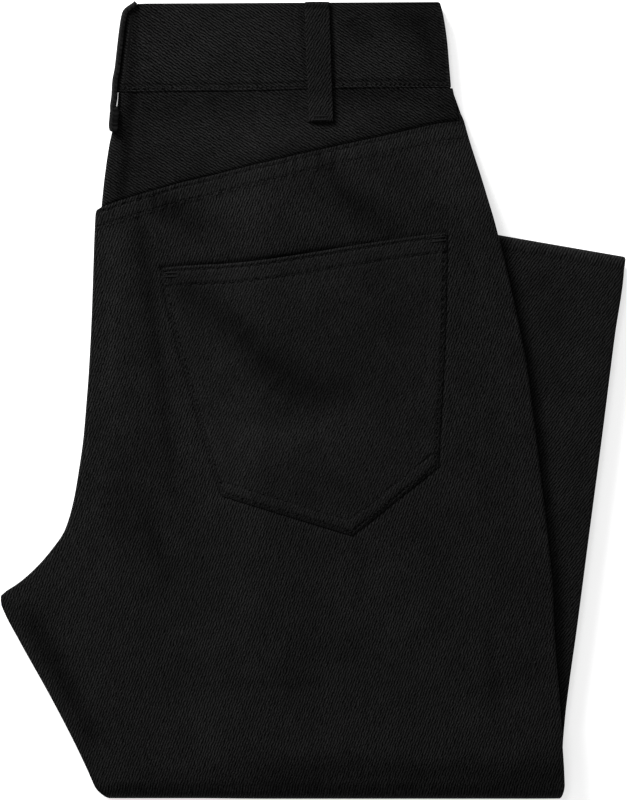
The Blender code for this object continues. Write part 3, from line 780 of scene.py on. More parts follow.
def pocket_dents(x, y):
    """How deep the panel is drawn in beside the pocket's stitched edges, and sunk under its loose mouth."""
    left, foot, right, mouth = pocket_outline(14)
    beside = distance_to(np.concatenate([left, foot[1:2], right]), x, y)
    stitched = POCKET_DENT * (1 + 0.5 * pucker(x - y)) * bell(beside, 0.8)
    under = distance_to(mouth + (0.0, -0.5), x, y)
    loose = bell(x - MOUTH_LOOSE_X, MOUTH_LOOSE_WIDTH)
    sunk = MOUTH_DENT * (0.5 + loose) * bell(under, 1.2)
    return stitched + sunk + MOUTH_HOLLOW * loose * bell(under, 5.0)


def back_panel(name, side, rows, between):
    """The outer ply of one half, on its face away from the pack's middle and on its inner face."""
    along, drop, slope, edge = columns(rows, CURL_CENTRE_BACK, between)
    bow = seam_bow(rows, along)
    plan = across(rows, along, bow)
    x, y = np.moveaxis(plan, 2, 0)
    run = rows["run"][:, None]
    pressed = np.where(run == 0, creased(CREASES_BODY[side], x, y), 0.0)
    pressed += np.where((run == 2) & (side < 0), creased(CREASES_STRIP, x, y), 0.0)
    pressed += np.where(run == 4, creased(CREASES_DOWN, x, y) * 0.3, 0.0)
    sewn_in = np.where(run == 0, seam_relief(x, y) - pocket_dents(x, y), 0.0)
    # Painted shade darkens the creases, the yoke seam's stitch grooves and the panel beside the pocket's
    # edges and under its mouth; ridges get rubbed dye and painted light
    painted_shade_and_wear = shade_and_wear_of(pressed + np.minimum(sewn_in, 0.0))
    relief = pressed + sewn_in + np.where(run == 0, body_fullness(x, y, side), 0.0)
    hem = rows["hem"][:, None]
    relief += HEM_RISE * (1 - soft((hem - HEM_ROW - 1.0) / 1.5)) - ROW_GROOVE * bell(hem - HEM_ROW, 0.7)
    relief += 0.1 * pucker(x, 5.2) * bell(hem - 6.0, 7.0)
    felled = (1 - rows["inseam"][:, None]) * (run == 0)
    groove = FELL_GROOVE * bell(along - FELL_EDGE, 0.45) * felled
    level = side * (PACK - drop + relief * np.sin(slope) ** 2 - groove)
    faces = two_faces(rows, lambda at: across(rows, at, bow), along, slope, edge, level, -side)
    piece = shell(name, *faces, cloth_map(rows, plan, side), painted_shade_and_wear, turned=side < 0)
    piece.data.materials.append(twill(name + "_twill", 1.0, 1.1))
    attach(piece, "root")
    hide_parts(name)


# Rows and columns stand closest together where a panel is seen
right_rows = leg_rows(seat_step=1.0, thigh_step=2.6, second_step=9.0, third_step=9.0)
left_rows = leg_rows(seat_step=2.4, thigh_step=2.6, second_step=1.8, third_step=3.0)
back_panel("back_panel_right", 1, right_rows, between=216)
back_panel("back_panel_left", -1, left_rows, between=120)

# ----------------------------------------------------------------------------------------- Front panels
# Front of each leg from the waistband to the hem, in the same twill. They lie face to face in the middle
# of the pack. Their side edges curl out to meet the back panels at the inseam and the side seam.

# The right half, side 1, faces up, and the left half, side -1, faces down.
HALVES = ((1, "right"), (-1, "left"))
FRONT_FACE = 0.1
CENTRE_FRONT_INSET = 4.0
CURL_CENTRE_FRONT = 0.4
FRONT_TOP_Y = 158.0
FRONT_FOOT_LEFT_Y = 104.0
FRONT_FOOT_RIGHT_Y = 148.0
FRONT_TOP_ROWS = 12
FRONT_COLUMNS = 44
FRONT_OPENINGS = table("y left right", [(160.6, -102.0, 71.6), (101.4, -109.6, 92.3)])


def front_panel(name, side):
    """An inner ply of one half, from its face beside the pack's middle outwards."""
    rows = leg_rows(seat_step=5.0, thigh_step=5.0, second_step=6.0, third_step=6.0)
    for column, foot_y in (("left", FRONT_FOOT_LEFT_Y), ("right", FRONT_FOOT_RIGHT_Y)):
        top = edge_points(FRONT_OPENINGS, column, np.linspace(FRONT_TOP_Y, foot_y, FRONT_TOP_ROWS))
        rows[column] = np.concatenate([top, rows[column]])
    for key in ("run", "angle", "inseam"):
        rows[key] = np.concatenate([np.zeros(FRONT_TOP_ROWS), rows[key]])
    rows["seam"] = np.concatenate([np.linspace(0.0, 0.95, FRONT_TOP_ROWS), rows["seam"]])
    direction = unit(rows["right"] - rows["left"])
    rows["left"] = rows["left"] + direction * (CENTRE_FRONT_INSET * (1 - rows["inseam"]))[:, None]
    along, drop, slope, edge = columns(rows, CURL_CENTRE_FRONT, FRONT_COLUMNS)
    bow = seam_bow(rows, along)
    level = side * (FRONT_FACE + drop)
    faces = two_faces(rows, lambda at: across(rows, at, bow), along, slope, edge, level, side)
    cloth = cloth_map(rows, across(rows, along, bow), -side)
    piece = shell(name, *faces, cloth, 0.0 * along, turned=side > 0)
    piece.data.materials.append(twill(name + "_twill", 1.0))
    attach(piece, "root")
    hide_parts("hidden_layers")


for side, half in HALVES:
    front_panel("front_panel_" + half, side)

# ------------------------------------------------------------------------------------------------ Yokes
# The two shaped pieces between waistband and seat, deep at the centre back and shallow at the side. Their
# grain runs level, so the ribs slope down to the right. They rise at the top into the waistband.
BAND_FOOT = table(
    "x y",
    [
        (-102.0, 158.7), (-29.4, 159.3), (-3.9, 160.2), (11.2, 160.6), (40.0, 160.9), (72.0, 161.0),
    ],
)
YOKE = table(
    "y left right",
    [
        (161.6, -100.8, 71.8), (154.0, -101.2, 73.4), (147.0, -102.4, 74.6), (137.0, -104.4, 76.6),
        (131.5, -105.6, 78.0), (113.0, -108.3, 84.0), (99.0, -109.8, 88.6),
    ],
)
YOKE_LIFT = {1: 1.7, -1: 0.2}
YOKE_RISE_LENGTH = 9.0
YOKE_COLUMNS = 160
SEAM_DIP = 0.7
SEAM_SLOPE = 0.6
CREASES_YOKE = table(
    "x0 y0 x1 y1 width depth",
    [
        (-92.6, 158.6, -98.3, 103.0, 3.0, -1.25), (-86.0, 158.6, -91.0, 108.0, 8.0, -0.33),
        (8.0, 158.0, 50.0, 156.0, 4.4, -0.40), (50.0, 156.0, 72.0, 149.0, 4.4, -0.33),
        (-84.3, 133.9, -37.9, 128.7, 9.0, 0.33), (-68.8, 112.2, -60.6, 114.3, 3.0, -0.26),
        (44.6, 148.3, 60.0, 151.4, 6.0, 0.26),
    ],
)


def yoke_rise(x, y):
    """How far the yoke has risen into the waistband, from 1 at the band's foot to 0 well below it."""
    below = np.maximum(curve(BAND_FOOT, "y", x, "x") - y, 0.0)
    return np.exp(-((below / YOKE_RISE_LENGTH) ** 1.5))


def yoke_relief(x, y, side):
    """Height of creases and of the rise into the waistband, less the dip where the seam draws it in."""
    above = y - curve(YOKE_SEAM, "y", x, "x")
    dip = SEAM_DIP * bell(above, 1.0) + SEAM_SLOPE * (0.25 + soft((x + 62.0) / 40.0)) * bell(above, 4.4)
    return creased(CREASES_YOKE, x, y) + YOKE_LIFT[side] * yoke_rise(x, y) - dip


def yoke_face(x, y, side):
    """Height of the yoke's outer face in space."""
    return body_base(x, y) + PACK + side * (PACK + yoke_relief(x, y, side))


def yoke(name, side):
    """One yoke: rows share out the height between the waistband's foot and the yoke seam."""
    share = np.concatenate([np.linspace(0, 0.9, 60), np.linspace(0.9, 1.0, 18)[1:]])
    rows = {key: 0 * share for key in ("run", "angle", "seam", "inseam")}
    for column, top_y, seam_y in (
        ("left", BAND_FOOT["y"][0], SEAM_LEFT_Y),
        ("right", BAND_FOOT["y"][-1], SEAM_RIGHT_Y),
    ):
        rows[column] = edge_points(YOKE, column, blend(top_y - SEAM_GAP, seam_y + SEAM_GAP, share))
    along, drop, slope, edge = columns(rows, CURL_CENTRE_BACK, YOKE_COLUMNS)

    def bowed(at):
        """Plan points at these distances along the rows, between the two curved edges."""
        plan = across(rows, at, 0.0)
        x = plan[:, :, 0]
        top = curve(BAND_FOOT, "y", x, "x") - SEAM_GAP
        foot = curve(YOKE_SEAM, "y", x, "x") + SEAM_GAP
        plan[:, :, 1] = blend(top, foot, share[:, None])
        return plan

    x, y = np.moveaxis(bowed(along), 2, 0)
    down = curve(BAND_FOOT, "y", x, "x") - y
    relief = yoke_relief(x, y, side) + 0.1 * pucker(x, 6.1) * bell(down, 7.0)
    # Painted shade darkens the creases and the dip above the yoke seam; ridges get rubbed dye and painted
    # light
    painted_shade_and_wear = shade_and_wear_of(relief - YOKE_LIFT[side] * yoke_rise(x, y))
    level = side * (PACK - drop + relief * np.sin(slope) ** 2)
    faces = two_faces(rows, bowed, along, slope, edge, level, -side)
    piece = shell(name, *faces, np.stack([y, -side * x], -1), painted_shade_and_wear, turned=side < 0)
    piece.data.materials.append(twill(name + "_twill", 0.90, 1.25))
    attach(piece, "root")
    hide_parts(name)


for side, half in HALVES:
    yoke("yoke_" + half, side)

# -------------------------------------------------------------------------------------------- Waistband
# One strip of twill all round the waist, doubled over at its top edge and edge-stitched along its foot.
# It is folded flat with the jeans, into four layers: right back, right front, left front, left back.
BAND_HALF = 1.0
BAND_LAYER = 2.3
BAND_LOW = 2.9
BAND_MIDDLE = BAND_LOW + 1.5 * BAND_LAYER
BAND_TOP_LEFT = 204.6
BAND_TOP_RIGHT = 205.4
BAND_WAIST_Y = 184.0
BAND_WAIST_RIGHT = 68.4
BAND_CORNER_X = -99.0
BAND_CORNER_DROP = 3.3
BAND_CORNER_WIDTH = 2.2
BAND_ROW = 1.9
BAND_ROW_GROOVE = 0.4
BAND_COLUMNS = 130
BAND_TURN_STEPS = 12
BAND = table(
    "y left right",
    [
        (206.0, -97.1, 65.2), (198.0, -97.8, 67.2), (184.0, -99.1, 69.2), (172.0, -100.6, 70.2),
        (160.0, -101.9, 71.2),
    ],
)
CREASES_BAND = table(
    "x0 y0 x1 y1 width depth",
    [
        (-91.0, 202.9, -92.8, 160.7, 3.0, -1.06), (-84.0, 202.9, -86.0, 160.7, 8.0, -0.30),
        (74.0, 206.0, 76.0, 160.0, 30.0, -1.06), (19.0, 196.0, 30.0, 184.0, 7.0, -1.12),
        (40.0, 198.0, 62.0, 191.0, 6.0, -1.06), (58.0, 190.0, 68.0, 166.0, 6.0, -0.46),
        (-84.3, 182.0, -22.0, 182.0, 14.0, 0.40), (28.0, 176.0, 58.0, 174.0, 9.0, 0.40),
        (-5.0, 206.0, -3.2, 160.0, 1.6, -0.66), (8.4, 206.0, 10.2, 160.0, 2.0, -0.53),
    ],
)


def band_path():
    """The folded strip seen along its width: share of the way from left to right, shift, height, normal.

    Four straight layers are joined by half rounds: two at the right, the small one of the centre front at
    the left, and the wide one of the centre back round it.
    """
    high = [BAND_LOW + BAND_LAYER * layer for layer in range(4)]
    middle = (high[0] + high[3]) / 2
    small = BAND_LAYER / 2
    wide = BAND_LAYER * 1.5
    ahead = np.linspace(0.0, 1.0, BAND_COLUMNS)
    left_shift = BAND_HALF + wide
    right_shift = -BAND_HALF - small
    half = np.radians(np.linspace(90.0, -90.0, BAND_TURN_STEPS))[1:-1]

    def layer(share, height, up):
        """A straight layer."""
        shift = blend(left_shift, right_shift, share)
        return np.column_stack([share, shift, 0 * share + height, 0 * share, 0 * share + up])

    def turn(share, shift, height, radius, angles, outward):
        """A half round: its middle plus the radius times the angle's cosine and sine."""
        x = shift + radius * np.cos(angles)
        z = height + radius * np.sin(angles)
        return np.column_stack([0 * x + share, x, z, outward * np.cos(angles), outward * np.sin(angles)])

    return np.concatenate(
        [
            layer(ahead, high[3], 1.0),
            turn(1.0, right_shift, high[3] - small, small, half, 1.0),
            layer(ahead[::-1], high[2], -1.0),
            turn(0.0, left_shift, middle, small, math.pi - half[::-1], -1.0),
            layer(ahead, high[1], 1.0),
            turn(1.0, right_shift, high[0] + small, small, half, 1.0),
            layer(ahead[::-1], high[0], -1.0),
            turn(0.0, left_shift, middle, wide, math.pi + half, 1.0),
        ]
    )


def band_profile():
    """Round the doubled strip's section: share of its height from the foot, place in its thickness, and
    how far past its two ends, in half thicknesses."""
    fine = np.concatenate([np.linspace(0.0, 0.12, 12), np.linspace(0.12, 1.0, 40)[1:]])
    end = np.radians(np.linspace(90.0, -90.0, 7))[1:-1]
    up = np.column_stack([fine, 0 * fine + 1.0, 0 * fine])
    top = np.column_stack([0 * end + 1.0, np.sin(end), np.cos(end)])
    back = np.column_stack([fine[::-4], 0 * fine[::-4] - 1.0, 0 * fine[::-4]])
    foot = np.column_stack([0 * end, -np.sin(end), -np.cos(end)])
    return np.concatenate([up, top, back, foot])


def waistband():
    """The doubled strip's rounded section carried along the folded path."""
    path = band_path()
    share, thick, beyond = np.moveaxis(band_profile()[:, :, None], 1, 0)
    ahead, shift, level, normal_x, normal_z = path.T
    top = blend(BAND_TOP_LEFT, BAND_TOP_RIGHT, ahead)
    waist_left = curve(BAND, "left", BAND_WAIST_Y)
    middle_x = waist_left * (1 - ahead) + ahead * BAND_WAIST_RIGHT + shift
    foot = curve(BAND_FOOT, "y", middle_x, "x")
    corner = np.maximum(middle_x - BAND_CORNER_X, 0.0) / BAND_CORNER_WIDTH
    corner = BAND_CORNER_DROP * np.exp(-corner)
    height = foot + (top - BAND_HALF - corner - foot - BAND_HALF) * share
    y = height + BAND_HALF * (1 + beyond)
    x = curve(BAND, "left", y) * (1 - ahead) + curve(BAND, "right", y) * ahead + shift
    from_foot = y - foot
    outside = (thick > 0.99) * (normal_z**2 > 0.9)
    stitched = bell(from_foot - BAND_ROW, 0.5) * (1 + 0.7 * pucker(x))
    relief = creased(CREASES_BAND, x, y) - BAND_ROW_GROOVE * stitched - 0.5 * bell(from_foot - 3.4, 1.0)
    relief += 0.12 * pucker(x + 40.0 * level, 6.3) * bell(from_foot - 3.0, 7.0)
    reach = thick * BAND_HALF + outside * relief * (np.abs(level - BAND_MIDDLE) > 2.0)
    points = np.stack([x + reach * normal_x, y, level + reach * normal_z], -1)
    count, around = points.shape[:2]
    index = np.arange(count * around).reshape(count, around)
    below = np.roll(index, -1, axis=0)
    quads = np.stack([index, np.roll(index, -1, axis=1), np.roll(below, -1, axis=1), below], -1)
    step = np.hypot(np.diff(x[0], append=x[0, 0]), np.diff(level, append=level[0]))
    run = np.concatenate([[0.0], np.cumsum(step)[:-1]])
    cloth = np.stack([y, -run + 0 * y], -1).reshape(-1, 2)
    # Painted shade darkens the creases and the stitch groove along the foot; ridges get rubbed dye and
    # painted light
    painted_shade_and_wear = shade_and_wear_of(outside * relief).ravel()
    return new_piece("waistband", points.reshape(-1, 3), quads.reshape(-1, 4).tolist(), cloth, painted_shade_and_wear)


band = waistband()
band.data.materials.append(twill("waistband_twill", 1.03, 1.45))
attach(band, "root")
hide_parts("waistband")

# ------------------------------------------------------------------------------------------ Back pockets
# A patch with a pointed foot, its edges turned under and stitched down, its mouth hemmed. It lies on the
# back panel, is one ply in the middle and two along its edges, and follows the panel's creases.
POCKET_ON_PANEL = 0.1
POCKET_CLOTH = 0.75
POCKET_TURNED = 0.25
POCKET_EDGE_ROWS = (1.7, 7.0)
POCKET_HEM_ROWS = (2.2, 9.8)
POCKET_GAPE = 0.6
POCKET_GAPE_X = -38.0
POCKET_GAPE_WIDTH = 26.0
POCKET_WARP = math.radians(98.0)
POCKET_TIP_SHARE = 0.6
POCKET_COLUMNS = 128
POCKET_ROWS = 150
POCKET_CLEAR = 0.02
POCKET_SUNK = 0.05
POCKET_EDGE_STEPS = np.array([0.0, 0.0012, 0.0028, 0.005, 0.0078, 0.0106, 0.0134, 0.0165, 0.021])


def pocket_rise(x, y):
    """Height of the pocket's face over the panel: a rounded edge, a second ply along the edges, grooves at
    the stitch rows, puckers near them, and a mouth that stands a little open left of its middle."""
    left, foot, right, mouth = pocket_outline(14)
    sides = distance_to(np.concatenate([left, foot[1:2], right]), x, y)
    lower = distance_to(foot, x, y)
    top = distance_to(mouth, x, y)
    swing = pucker(x - y)
    rim = np.minimum(0.2 + 0.8 * soft(sides / (2.0 + 0.6 * swing)), 0.5 + 0.5 * soft(top / 0.7))
    turned = POCKET_TURNED * (1 - soft((np.minimum(sides, top - 1.6) - 7.2) / 1.6))
    groove = bell(sides - POCKET_EDGE_ROWS[0], 0.5) + bell(lower - POCKET_EDGE_ROWS[1], 0.6)
    groove += sum(bell(top - row, 0.6) for row in POCKET_HEM_ROWS)
    ripple = 0.28 * pucker(x + 0.7 * y) * np.exp(-lower / 4.5) + 0.12 * swing * np.exp(-sides / 3.0)
    ripple += 0.2 * pucker(x, 5.4) * bell(top - 9.6, 3.5) + 0.1 * pucker(x) * np.exp(-top / 3.0)
    gape = POCKET_GAPE * bell(x - POCKET_GAPE_X, POCKET_GAPE_WIDTH) * np.exp(-top / 7.0)
    pressed = ROW_GROOVE * groove * (1 + 0.8 * swing)
    return POCKET_ON_PANEL + (POCKET_CLOTH + turned) * rim + ripple + gape - pressed


def body_face(x, y, side):
    """Height of the body's outer face in space, on the half that faces up (side 1) or down (side -1)."""
    return body_base(x, y) + PACK + side * (PACK + panel_relief(x, y, side))


def pocket_face(x, y, side):
    """Height of the pocket's outer face in space."""
    return body_face(x, y, side) + side * pocket_rise(x, y)


def crowded(count):
    """Shares from 0 to 1 that crowd together at both ends."""
    ends = POCKET_EDGE_STEPS
    return np.concatenate([ends, np.linspace(ends[-1], 1 - ends[-1], count)[1:-1], 1 - ends[::-1]])


def pocket(name, side):
    """A grid between the four edges: the sum of the two pairs' straight blends less that of the corners."""
    ahead = crowded(POCKET_COLUMNS)
    ahead[np.argmin(np.abs(ahead - POCKET_TIP_SHARE))] = POCKET_TIP_SHARE
    down = crowded(POCKET_ROWS)
    mouth = line_points(POCKET_MOUTH, blend(POCKET_MOUTH["x"][0], POCKET_MOUTH["x"][-1], ahead))
    left = pocket_side(POCKET_LEFT, down)
    right = pocket_side(POCKET_RIGHT, down)
    corners = np.array([left[-1], POCKET_TIP, right[-1]])
    knots = [0.0, POCKET_TIP_SHARE, 1.0]
    foot = np.column_stack([np.interp(ahead, knots, corners[:, axis]) for axis in (0, 1)])
    down = down[:, None, None]
    ahead = ahead[None, :, None]
    plan = mouth[None] * (1 - down) + foot[None] * down
    plan = plan + left[:, None] * (1 - ahead) + right[:, None] * ahead
    top_corners = mouth[0] * (1 - ahead) + mouth[-1] * ahead
    foot_corners = foot[0] * (1 - ahead) + foot[-1] * ahead
    plan = plan - top_corners * (1 - down) - foot_corners * down
    x, y = np.moveaxis(plan, 2, 0)
    panel = body_face(x, y, side)
    rise = pocket_rise(x, y)
    outer = np.stack([x, y, panel + side * (rise + POCKET_CLEAR)], -1)
    lining = np.maximum(rise - POCKET_CLOTH, POCKET_ON_PANEL - POCKET_SUNK)
    inner = np.stack([x, y, panel + side * lining], -1)
    # Painted shade darkens creases, stitch grooves and the low rim; the raised, doubled edges get rubbed
    # dye and painted light
    painted_shade_and_wear = shade_and_wear_of(creased(CREASES_BODY[side], x, y) + rise - POCKET_ON_PANEL - POCKET_CLOTH)
    piece = shell(name, outer, inner, on_grain(x, y, side, POCKET_WARP), painted_shade_and_wear, turned=side < 0)
    piece.data.materials.append(twill(name + "_twill", 0.97, 0.9))
    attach(piece, "root")
    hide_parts(name)


for side, half in HALVES:
    pocket("back_pocket_" + half, side)

# ------------------------------------------------------------------------------------------- Belt loops
# Narrow straps of twill folded in three, with both ends turned under and bartacked: one beside each back
# pocket over the waistband, and one over the centre-back fold, seen on its edge at the left.
LOOP_HALF_WIDTH = 6.3
LOOP_HALF = 0.6
LOOP_TOP = (1.8, 207.0)
LOOP_FOOT = (3.9, 143.6)
LOOP_LEFT_SHARE = 0.5
STRAP_WIDE_POWER = 0.28
STRAP_THICK_POWER = 0.55
STRAP_AROUND = 32
STRAP_GROOVE = 0.16
STRAP_GROOVE_PLACE = 0.78
STRAP_GROOVE_WIDTH = 0.07
LOOP_STEPS = 110
LOOP_ONTO_BAND_Y = 156.5
LOOP_ONTO_BAND_LENGTH = 6.0


def tube_faces(rings, around):
    """Quads between the rings of a tube, whose points are numbered ring by ring."""
    index = np.arange(rings * around).reshape(rings, around)
    after = np.roll(index, -1, axis=1)
    return np.stack([index[:-1], index[1:], after[1:], after[:-1]], -1).reshape(-1, 4)


def strap(name, centre, sideways, way, half_width, half, bend):
    """A rounded strap: an oblong section with round edges carried along a path.

    The section's points are half_width times the cosine across and half times the sine out, raised to
    small powers so that it is nearly a rectangle. Out is square to the path and to the sideways direction,
    and way turns it round. bend curves the strap round its length. A groove runs along both edges.
    """
    sideways = np.array(sideways)
    normal = way * np.cross(sideways, unit(np.gradient(centre, axis=0)))
    turn = np.linspace(0.0, math.tau, STRAP_AROUND + 1)[:-1]
    wide = np.sign(np.cos(turn)) * np.abs(np.cos(turn)) ** STRAP_WIDE_POWER
    thick = np.sign(np.sin(turn)) * np.abs(np.sin(turn)) ** STRAP_THICK_POWER
    dip = STRAP_GROOVE * bell(np.abs(wide) - STRAP_GROOVE_PLACE, STRAP_GROOVE_WIDTH) * (thick > 0)
    out = half[:, None] * (thick - dip) - bend * wide**2
    points = centre[:, None] + half_width * wide[None, :, None] * sideways
    points = points + out[:, :, None] * normal[:, None]
    length = np.concatenate([[0.0], np.cumsum(np.linalg.norm(np.diff(centre, axis=0), axis=1))])
    v = length[:, None] + 0 * out
    cloth = np.stack([half_width * wide + 0 * v, v], -1).reshape(-1, 2)
    piece = new_piece(name, points.reshape(-1, 3), tube_faces(*out.shape).tolist(), cloth, 0.0 * v.ravel())
    close_ends(piece)
    return piece


def close_ends(piece):
    """Fills the open end rings of a strap and turns all faces outwards."""
    shape = bmesh.new()
    shape.from_mesh(piece.data)
    bmesh.ops.holes_fill(shape, edges=[edge for edge in shape.edges if edge.is_boundary], sides=0)
    bmesh.ops.recalc_face_normals(shape, faces=shape.faces)
    shape.to_mesh(piece.data)
    shape.free()


SIDE_LOOP = table(
    "key y rise",
    [
        (0, 148.0, 0.8), (1, 144.6, 0.8), (2, 143.6, 1.5), (3, 144.1, 2.3), (4, 147.0, 2.35),
        (5, 151.0, 2.4), (6, 155.0, 1.9), (7, 159.0, 1.5), (8, 162.5, 1.4), (9, 168.0, 1.5),
        (10, 176.0, 1.7), (11, 186.0, 1.7), (12, 196.0, 1.5), (13, 201.4, 1.5), (14, 203.8, 2.1),
        (15, 204.8, 1.5), (16, 204.5, 0.8), (17, 202.5, 0.75), (18, 198.0, 0.75),
    ],
)


def side_loop(name, side):
    """The strap's path up over the waistband and its two turned ends, in a plane along the strap."""
    at = np.linspace(0.0, len(SIDE_LOOP) - 1.0, LOOP_STEPS)
    y = curve(SIDE_LOOP, "y", at, "key")
    rise = curve(SIDE_LOOP, "rise", at, "key") * (1.0 if side > 0 else LOOP_LEFT_SHARE)
    x = LOOP_TOP[0] + (LOOP_FOOT[0] - LOOP_TOP[0]) * (LOOP_TOP[1] - y) / (LOOP_TOP[1] - LOOP_FOOT[1])
    on_band = BAND_MIDDLE + side * (1.5 * BAND_LAYER + BAND_HALF)
    over = soft((y - LOOP_ONTO_BAND_Y) / LOOP_ONTO_BAND_LENGTH)
    base = yoke_face(x, y, side) * (1 - over) + on_band * over
    centre = np.column_stack([x, y, base + side * rise])
    return strap(name, centre, (1.0, 0.0, 0.0), 1, LOOP_HALF_WIDTH, np.full(len(at), LOOP_HALF), 0.0)


CENTRE_LOOP_TOP = 205.4
CENTRE_LOOP_FOOT = 138.6
CENTRE_LOOP_HALF_WIDTH = 5.6
CENTRE_LOOP_BEND = 1.6
CENTRE_LOOP_HALF = 1.0
CENTRE_LOOP_TURNED = 1.1
CENTRE_LOOP_TURNED_Y = 151.0
CENTRE_LOOP_STEPS = 72
CENTRE_LOOP = table(
    "y x",
    [
        (205.6, -92.6), (204.2, -94.2), (203.0, -96.2), (200.9, -98.5), (198.5, -99.4), (191.8, -100.5),
        (180.0, -101.9), (171.2, -102.9), (164.7, -104.1), (156.8, -104.6), (151.4, -105.3),
        (147.0, -105.5), (142.0, -105.9), (138.4, -105.6),
    ],
)


def centre_loop(name):
    """The strap over the centre-back fold: its width is bent round the folded edge, and its foot is turned
    under, so that it is twice as thick there."""
    y = np.linspace(CENTRE_LOOP_TOP, CENTRE_LOOP_FOOT, CENTRE_LOOP_STEPS)
    turned = CENTRE_LOOP_TURNED * soft((CENTRE_LOOP_TURNED_Y - y) / 1.6)
    half = CENTRE_LOOP_HALF + turned * soft((y - CENTRE_LOOP_FOOT + 1.2) / 3.0)
    centre = np.column_stack([curve(CENTRE_LOOP, "x", y) + half, y, 0 * y + BAND_MIDDLE])
    return strap(name, centre, (0.0, 0.0, 1.0), -1, CENTRE_LOOP_HALF_WIDTH, half, CENTRE_LOOP_BEND)


# The centre-back loop stands on its edge facing the light from the left, so it is painted darker, with
# fainter ribs, than the side loops, as painted shade
loops = [
    ("belt_loop_side_right", side_loop("belt_loop_side_right", 1), 0.94, 1.1),
    ("belt_loop_side_left", side_loop("belt_loop_side_left", -1), 0.94, 1.1),
    ("belt_loop_centre_back", centre_loop("belt_loop_centre_back"), 0.62, 0.5),
]
for node, loop, tone, contrast in loops:
    loop.data.materials.append(twill(node + "_twill", tone, contrast))
    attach(loop, "root")
    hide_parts(node)

# ------------------------------------------------------------------------------------------ Topstitching
# Lockstitch in black thread, about ten stitches to 25 mm, sunk into the cloth so that each stitch shows
# between two needle holes, whose shade is painted on the stitch's ends. Bartacks are the same thread in
# close bars across the strap or the corner.
THREAD_HALF = 0.36
THREAD_ARCH = 0.3
THREAD_SUNK = 0.18
# Painted shade of the needle holes at a stitch's ends, and painted highlight along its middle
THREAD_HOLE_SHADE = 0.0002
THREAD_HIGHLIGHT = 0.009
THREAD_ROUGHNESS = 0.55
THREAD_SPECULAR = 0.03
STITCH_LENGTH = 2.35
BAND_FACE_PRESSED = 0.3


def thread(name):
    """Black polyester thread: a painted highlight along the middle of a stitch and painted shade at its two
    ends, where it dips into the needle holes, with its twist as a fine bump."""
    material, tree, shader = new_material(name)
    set_inputs(shader, {"Roughness": THREAD_ROUGHNESS, "Specular IOR Level": THREAD_SPECULAR})
    where = tree.nodes.new("ShaderNodeUVMap")
    where.uv_map = "cloth"
    split = tree.nodes.new("ShaderNodeSeparateXYZ")
    away = tree.nodes.new("ShaderNodeMath")
    away.operation = "ABSOLUTE"
    # The ramp paints a highlight along each stitch's middle and the needle holes' shade at its ends
    ramp = tree.nodes.new("ShaderNodeValToRGB")
    for stop, place_along, level in zip(ramp.color_ramp.elements, (0.3, 0.6), (THREAD_HIGHLIGHT, THREAD_HOLE_SHADE)):
        stop.position = place_along
        stop.color = grey(level)
    twist = tree.nodes.new("ShaderNodeTexWave")
    set_inputs(twist, {"Scale": 1.2})
    bump = tree.nodes.new("ShaderNodeBump")
    set_inputs(bump, {"Strength": 0.5, "Distance": 0.1 * MM})
    tree.links.new(where.outputs["UV"], split.inputs[0])
    tree.links.new(split.outputs["X"], away.inputs[0])
    tree.links.new(away.outputs[0], ramp.inputs["Fac"])
    tree.links.new(ramp.outputs["Color"], shader.inputs["Base Color"])
    tree.links.new(where.outputs["UV"], twist.inputs["Vector"])
    tree.links.new(twist.outputs["Fac"], bump.inputs["Height"])
    tree.links.new(bump.outputs["Normal"], shader.inputs["Normal"])
    return material


thread_black = thread("black_thread")


def stitches(name, centres, directions, length, half=THREAD_HALF):
    """Short rounded threads, one at each centre along its direction.

    Each is a tube of six sides and six rings: a ring's radius is the thread's times the square root of
    one less the square of its place, and its height an arch that dips into the cloth at both ends. The
    fourth number of a centre is the side that its thread lies on. The cloth coordinates give the place
    along the thread, from -1 to 1 on a plain stitch, and across it.
    """
    place_along = np.array([-1.0, -0.86, -0.4, 0.4, 0.86, 1.0])
    radius = half * np.sqrt(1.02 - place_along**2)
    arch = THREAD_ARCH * (1 - place_along**2) - THREAD_SUNK
    turn = np.linspace(0.0, math.tau, 7)[:-1]
    tangent = unit(directions)
    up = np.where(centres[:, 3:4] > 0, 1.0, -1.0) * np.array([0.0, 0.0, 1.0])
    beside = unit(np.cross(up, tangent))
    up = np.cross(tangent, beside)
    ring_side = radius[:, None] * np.cos(turn)
    ring_up = radius[:, None] * np.sin(turn) + arch[:, None]
    ahead = (place_along * length / 2)[None, :, None, None]
    points = centres[:, None, None, :3] + tangent[:, None, None] * ahead
    points = points + beside[:, None, None] * ring_side[None, :, :, None]
    points = points + up[:, None, None] * ring_up[None, :, :, None]
    first = [[0, 1, 2, 3], [0, 3, 4, 5]]
    last = ring_side.size - 6 + np.array([[3, 2, 1, 0], [5, 4, 3, 0]])
    one = np.concatenate([tube_faces(*ring_side.shape), first, last])
    offsets = np.arange(len(centres))[:, None, None] * ring_side.size
    faces = (one[None] + offsets).reshape(-1, 4)
    along_thread = place_along[:, None] * (STITCH_LENGTH / length) + 0 * ring_side
    cloth = np.tile(np.stack([along_thread, ring_side], -1).reshape(-1, 2), (len(centres), 1))
    points = points.reshape(-1, 3)
    piece = new_piece(name, points, faces.tolist(), cloth, 0.0 * points[:, 0])
    piece.data.materials.append(thread_black)
    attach(piece, "root")


